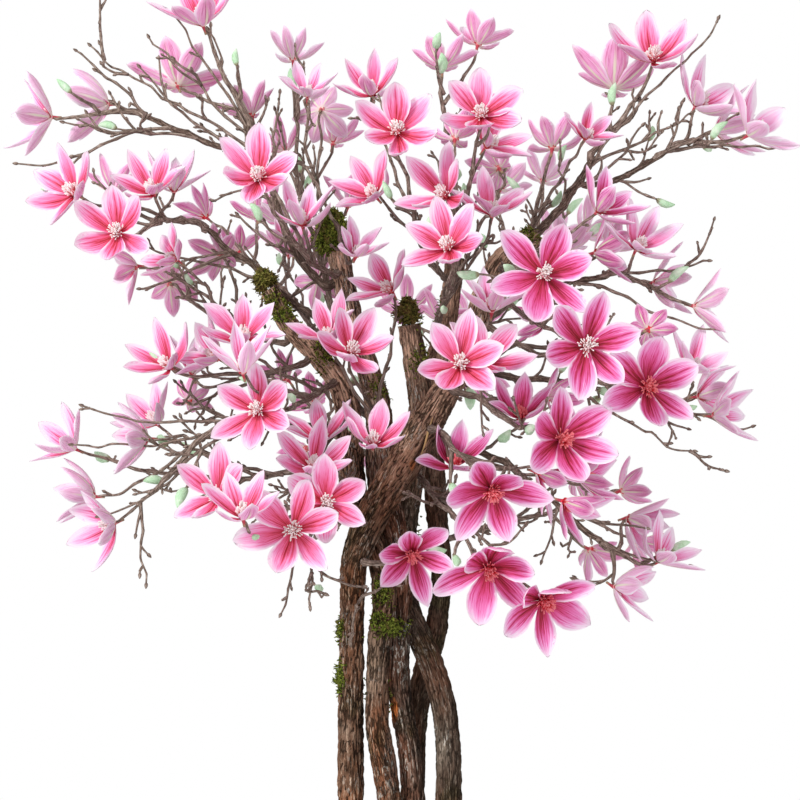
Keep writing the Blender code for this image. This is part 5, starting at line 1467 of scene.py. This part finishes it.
flat = 1 + bud["flat"] * np.cos(2 * anglesOf(bud["sides"]))
makePiece("green_buds", [tubes(budPaths, budRadii, bud["sides"], flat)],
          painted("green bud", bud), list(allSprays))

# Moss: tufts on the caps, and in patches where the photograph's trunk carries them
moss = {
    "rows": 22, "sides": 34, "lows": (0.12, 0.52, 0.26), "lumps": ((0.55, 95, 300), (0.32, 260, 310)),
    "tufts": (560, 1300, 700), "long": (0.003, 0.0142), "patchLong": (0.0026, 0.008),
    "thick": (0.0012, 0.001, 0.0004), "thickJitter": (0.8, 1.3), "bend": 0.75, "comb": 1.6,
    "combScale": 150, "combSeeds": (321, 322, 323), "shake": 0.3, "ragged": (170, 1.5, 0.35),
    "longJitter": (0.6, 1.1), "sunk": 0.001, "heap": 0.0085, "heapWide": 2.2, "heapScale": 180,
    "wisps": 10, "wispLong": (0.007, 0.017), "wispSpread": 0.5, "curl": 0.75, "droop": -0.25,
    "wispThick": (0.0006, 0.00055, 0.0005, 0.0004, 0.00025),
    "dark": (0.04, 0.048, 0.01), "green": (0.2, 0.25, 0.036), "light": (0.46, 0.52, 0.11),
    "brown": (0.23, 0.165, 0.06),
    "finish": (0.95, 0.06), "first": "dark", "relief": {"clump": 1.0}, "bump": (0.8, 0.003),
    "fields": {"clump": ("place", None, 260, 3, 0.65), "patch": ("place", None, 90, 2, 0.5)},
    "layers": (("green", 1.0, ("clump", 0.4, 0.56)), ("light", 1.0, ("clump", 0.54, 0.68)),
               ("brown", 0.7, ("patch", 0.52, 0.66))),
}
dryMoss = {"dark": (0.048, 0.04, 0.013), "green": (0.215, 0.2, 0.045),
           "light": (0.42, 0.4, 0.11), "brown": (0.26, 0.16, 0.066)}
mossPatches = [  # looked at from (x, -3.2, z) of the camera: place, spread (m), tufts
    ((-0.02, 0.828), (0.007, 0.011), 260), ((-0.012, 0.78), (0.011, 0.006), 430),
    ((-0.028, 0.792), (0.005, 0.005), 90), ((-0.0795, 0.778), (0.0028, 0.008), 170),
    ((-0.0785, 0.712), (0.0032, 0.01), 330),
    ((-0.17, 1.22), (0.006, 0.008), 130), ((-0.158, 1.207), (0.006, 0.008), 110),
    ((-0.098, 1.15), (0.008, 0.011), 180), ((-0.026, 1.104), (0.007, 0.008), 90),
    ((0.031, 1.14), (0.007, 0.01), 120), ((0.04, 1.216), (0.008, 0.014), 200),
    ((0.176, 1.312), (0.012, 0.01), 240), ((-0.15, 1.2), (0.008, 0.008), 90),
]
backPatches = [((0.006, 0.9), (0.01, 0.024), 420), ((-0.02, 0.7), (0.01, 0.018), 260)]
eyeAway = 3.2
eye = Vector((0.0027, -eyeAway, 1.086))


def mossMound(name, number):
    # Rays out of a packed cap's middle: reach = way to its skin times (low + broad + small lumps)
    corners = np.array([corner.co for corner in nodes[name].data.vertices])
    middle = (corners.min(axis=0) + corners.max(axis=0)) / 2
    tilt = math.pi * np.arange(1, moss["rows"])[:, None] / moss["rows"]
    angle = anglesOf(moss["sides"])[None]
    rays = ringPoints(angle, np.sin(tilt), -np.cos(tilt)).reshape(-1, 3)
    rays = np.concatenate([rays, [[0, 0, -1], [0, 0, 1]]])
    reach = np.array([skins[name].ray_cast(Vector(middle), Vector(ray))[3] for ray in rays])
    places = middle + rays * reach[:, None]
    lumps = sum((size * lattice(places * scale, seed + number)
                 for size, scale, seed in moss["lumps"]), moss["lows"][number])
    points = middle + rays * (reach * lumps)[:, None]
    rings = moss["rows"] - 1
    return part(points, ringFaces(rings, moss["sides"]), capFaces(rings, moss["sides"]))


def spreadSeats(shape, amount, rng):  # places and normals spread evenly over a part's faces
    tris = np.concatenate([shape["quads"][:, :3], shape["quads"][:, [0, 2, 3]], shape["tris"]])
    a, b, c = (shape["points"][tris[:, k]] for k in range(3))
    normals = np.cross(b - a, c - a)
    areas = np.linalg.norm(normals, axis=1)
    picks = rng.choice(len(tris), amount, p=areas / areas.sum())
    u, v = np.sqrt(rng.random(amount))[:, None], rng.random(amount)[:, None]
    seats = a[picks] * (1 - u) + b[picks] * u * (1 - v) + c[picks] * u * v
    return seats, unit(normals[picks])


def patchSeats(place, spread, amount, rng, back):
    # Where rays from the eye, or from behind, through places spread about one first meet a stem
    seats, normals = [], []
    start = Vector((eye.x, eyeAway, eye.z)) if back else eye
    for _ in range(amount):
        x, z = place[0] + rng.normal() * spread[0], place[1] + rng.normal() * spread[1]
        goal = Vector((x, 0.0, z))
        hits = [skins[name].ray_cast(start, (goal - start).normalized()) for name in stemRows]
        hits = [hit for hit in hits if hit[0] is not None]
        if hits:
            seat, normal, _, _ = min(hits, key=lambda found: found[3])
            seats.append(seat)
            normals.append(normal)
    return np.array(seats).reshape(-1, 3), np.array(normals).reshape(-1, 3)


def tuftPart(seats, normals, rng, longs):
    # Blades out of a face, combed in clumps by a broad noise, each bent once on its way
    amount = len(seats)
    comb = np.stack([lattice(seats * moss["combScale"], seed) for seed in moss["combSeeds"]], axis=1)
    lean = normals + (comb - 0.5) * moss["comb"] + rng.normal(size=(amount, 3)) * moss["shake"]
    lean = unit(lean)
    scale, gain, less = moss["ragged"]
    ragged = np.clip(lattice(seats * scale, seeds["ragged"]) * gain - less, 0, 1)[:, None]
    reach = longs[0] + (longs[1] - longs[0]) * ragged
    reach = reach * rng.uniform(*moss["longJitter"], (amount, 1))
    turned = unit(lean + rng.normal(size=(amount, 3)) * moss["bend"])
    bent = seats + lean * reach * 0.5
    paths = np.stack([seats - normals * moss["sunk"], bent, bent + turned * reach * 0.5], axis=1)
    radii = np.tile(moss["thick"], (amount, 1)) * rng.uniform(*moss["thickJitter"], (amount, 1))
    return tubes(paths, radii, 3)


def heaped(seats, normals, rng):  # seats raised into a low lumpy heap, highest about their middle
    away = np.linalg.norm(seats - np.median(seats, axis=0), axis=1)
    dome = np.clip(1 - (away / (moss["heapWide"] * away.mean() + 1e-6)) ** 2, 0, 1)
    rise = moss["heap"] * dome * lattice(seats * moss["heapScale"], seeds["heap"])
    rise = rise * rng.random(len(seats)) ** 0.5
    return seats + normals * rise[:, None], normals


def wispPart(seats, normals, rng):  # a few thin strands that hang out of a patch
    amount = len(seats)
    way = unit(normals + rng.normal(size=(amount, 3)) * moss["wispSpread"])
    steps = len(moss["wispThick"]) - 1
    reach = rng.uniform(*moss["wispLong"], (amount, 1)) / steps
    path = [seats]
    for _ in range(steps):
        path.append(path[-1] + way * reach)
        shake = rng.normal(size=(amount, 3)) * moss["curl"]
        way = unit(way + shake + np.array([0, 0, moss["droop"]]))
    return tubes(np.stack(path, axis=1), np.tile(moss["wispThick"], (amount, 1)), 3)


mossTone = painted("moss", moss)
caps = ("moss_left", "moss_top", "moss_centre")
mounds = [mossMound(name, number) for number, name in enumerate(caps)]
makePiece("moss_mounds", mounds, mossTone, caps)
rng = np.random.default_rng(seeds["moss"])
capTufts = [tuftPart(*spreadSeats(mound, amount, rng), rng, moss["long"])
            for mound, amount in zip(mounds, moss["tufts"])]
makePiece("moss_dry_tufts", [capTufts[0], capTufts[2]], painted("dry moss", {**moss, **dryMoss}))
tufts = [capTufts[1]]
for back, patches in ((False, mossPatches), (True, backPatches)):
    for place, spread, amount in patches:
        seats, normals = patchSeats(place, spread, amount, rng, back)
        if len(seats):
            tufts.append(tuftPart(*heaped(seats, normals, rng), rng, moss["patchLong"]))
            picks = rng.integers(0, len(seats), moss["wisps"])
            tufts.append(wispPart(seats[picks], normals[picks], rng))
makePiece("moss_tufts", tufts, mossTone)

# A straw-coloured splinter that lifts off the crossing stem
splinter = {
    "places": ((0.0467, 1.062), (0.0412, 1.045), (0.0362, 1.0285), (0.0302, 1.0115)),
    "off": 0.0012, "thick": (0.0005, 0.0017, 0.0014, 0.0004), "sides": 5,
    "finish": (0.8,), "first": "dark", "dark": (0.42, 0.24, 0.09),
    "light": (0.8, 0.56, 0.27), "fields": {"strand": ("place", (1, 1, 0.2), 900)},
    "layers": (("light", 1.0, ("strand",)),),
}
line = [patchSeats(place, (0, 0), 1, rng, False) for place in splinter["places"]]
line = np.concatenate([seat + normal * splinter["off"] for seat, normal in line])
makePiece("splinter", [tubes(line[None], np.array([splinter["thick"]]), splinter["sides"])],
          painted("straw", splinter))

# Pot and soil
tub = {
    "height": 0.265, "mouth": 0.168, "foot": 0.118, "wall": 0.013, "floor": 0.016, "rim": 0.038,
    "step": 0.008, "rounding": 0.003, "sides": 128, "hole": 0.002, "tone": (0.06, 0.062, 0.065),
    "light": (0.105, 0.107, 0.11), "dark": (0.032, 0.033, 0.035),
    "finish": (0.62, 0.45), "first": "tone", "relief": {"grit": 1.0, "speck": 0.6},
    "bump": (0.35, 0.0012),
    "fields": {"cloud": ("place", None, 9, 4, 0.6), "grit": ("place", None, 420, 3, 0.7),
               "speck": ("place", None, 160, 2, 0.5)},
    "layers": (("light", 1.0, ("cloud", 0.34, 0.68)), ("dark", 0.5, ("grit", 0.5, 0.66)),
               ("light", 0.5, ("speck", 0.68, 0.74))),
}
ground = {
    "rings": 46, "sides": 150, "unevenness": 0.004, "crumbs": ((110, 5, 1.0), (290, 6, 0.5)),
    "lower": 0.15, "gap": 0.0008, "edgeEase": (0.01, 0.15), "hole": 0.002, "underShare": 0.99,
    "dark": (0.022, 0.014, 0.009), "brown": (0.07, 0.046, 0.03), "pale": (0.2, 0.16, 0.12),
    "finish": (0.96,), "first": "dark", "relief": {"crumb": 1.0}, "bump": (0.9, 0.004),
    "fields": {"crumb": ("place", None, 190, 4, 0.7), "chip": ("place", None, 420, 2, 0.5)},
    "layers": (("brown", 1.0, ("crumb", 0.36, 0.66)), ("pale", 0.7, ("chip", 0.66, 0.74))),
}


def turned(profile, sides):  # (radius, height) turned about the vertical, closed at both ends
    radii, heights = np.array(profile).T
    ring = ringPoints(anglesOf(sides), radii[:, None], heights[:, None])
    ends = np.array([[0, 0, heights[0]], [0, 0, heights[-1]]])
    return part(np.concatenate([ring.reshape(-1, 3), ends]), ringFaces(len(radii), sides),
                capFaces(len(radii), sides))


def rounded(corners, cut, steps=4):  # each corner of a profile replaced by a small arc
    made = [corners[0]]
    for before, corner, after in zip(corners, corners[1:], corners[2:]):
        before, corner, after = (np.array(place) for place in (before, corner, after))
        start, end = corner + unit(before - corner) * cut, corner + unit(after - corner) * cut
        share = np.linspace(0, 1, steps)[:, None]
        made += [tuple(place) for place in (1 - share) ** 2 * start
                 + 2 * share * (1 - share) * corner + share ** 2 * end]
    return made + [corners[-1]]


def innerRadius(height):  # of the pot's hollow, from its floor to its mouth
    share = (height - tub["floor"]) / (tub["height"] - tub["floor"])
    low, high = tub["foot"] - tub["wall"], tub["mouth"] - tub["step"] - tub["wall"]
    return low + (high - low) * share


band, underBand = tub["height"] - tub["rim"], tub["mouth"] - tub["step"]
potProfile = rounded([
    (tub["hole"], 0.0), (tub["foot"], 0.0), (underBand, band), (tub["mouth"], band),
    (tub["mouth"], tub["height"]), (innerRadius(tub["height"]), tub["height"]),
    (innerRadius(tub["floor"]), tub["floor"]), (tub["hole"], tub["floor"])], tub["rounding"])
makePiece("tub", [turned(potProfile, tub["sides"])], painted("fibre clay", tub), ["pot"])
edge = innerRadius(growth["ground"]) - ground["gap"]
radii = np.linspace(ground["hole"], edge, ground["rings"])[:, None]
angle = anglesOf(ground["sides"])
spot = ringPoints(angle, radii, 0)
crumbs = sum(size * (lattice(spot * scale, seed) - 0.5) for scale, seed, size in ground["crumbs"])
reach, least = ground["edgeEase"]
rise = growth["ground"] - growth["gap"] + ground["unevenness"] * (crumbs - ground["lower"]) * np.clip(
    (edge - radii) / reach, least, 1)
low = tub["floor"] + growth["gap"]
under = ringPoints(angle, innerRadius(low) * ground["underShare"], low)
centre = np.array([[0, 0, rise[0].mean()], [0, 0, low]])
rings = np.concatenate([ringPoints(angle, radii, rise), under[None]])
makePiece("potting_mix", [part(np.concatenate([rings.reshape(-1, 3), centre]),
                               ringFaces(len(rings), ground["sides"])[:, ::-1],
                               capFaces(len(rings), ground["sides"])[:, ::-1])],
          painted("potting mix", ground), ["soil"])

# Floor, light and camera
studio = {
    "floor": (0.86, 0.86, 0.86), "reach": 3.0, "corners": 96, "sky": 0.8, "white": 1.0,
    "aim": Vector((0, 0, 1.1)), "sensor": 36, "pixels": 800, "pixel": 0.00135, "matte": 0.9,
    "lamps": (("key", (-2.3, -3.0, 3.1), 0.9, 94), ("fill", (2.4, -2.8, 1.6), 2.2, 8)),
}
floorMesh = bpy.data.meshes.new("studio_floor")
floorMesh.from_pydata([(math.cos(turn) * studio["reach"], math.sin(turn) * studio["reach"], 0)
                       for turn in anglesOf(studio["corners"])], [], [tuple(range(studio["corners"]))])
studioFloor = bpy.data.objects.new("studio_floor", floorMesh)
bpy.context.scene.collection.objects.link(studioFloor)
floorTone, _, shader = newMaterial("studio floor", studio["matte"])
feed(shader.inputs["Base Color"], studio["floor"])
floorMesh.materials.append(floorTone)

scene = bpy.context.scene
world = bpy.data.worlds.new("studio light")
scene.world = world
world.use_nodes = True
background = world.node_tree.nodes["Background"]
seen = node(world.node_tree, "LightPath", {}, "Is Camera Ray")
feed(background.inputs["Color"], (1.0, 1.0, 1.0))
feed(background.inputs["Strength"], seen * (studio["white"] - studio["sky"]) + studio["sky"])
for name, place, size, power in studio["lamps"]:
    light = bpy.data.lights.new(name, "AREA")
    light.shape, light.size, light.energy = "DISK", size, power
    lamp = bpy.data.objects.new(name, light)
    lamp.location = place
    lamp.rotation_euler = (studio["aim"] - Vector(place)).to_track_quat("-Z", "Y").to_euler()
    scene.collection.objects.link(lamp)
lens = bpy.data.cameras.new("camera")
lens.sensor_width = studio["sensor"]
lens.lens = studio["sensor"] * eyeAway / (studio["pixels"] * studio["pixel"])
camera = bpy.data.objects.new("camera", lens)
camera.location, camera.rotation_euler = eye, (math.radians(90), 0, 0)
scene.collection.objects.link(camera)
scene.camera = camera
scene.view_settings.view_transform = "Standard"
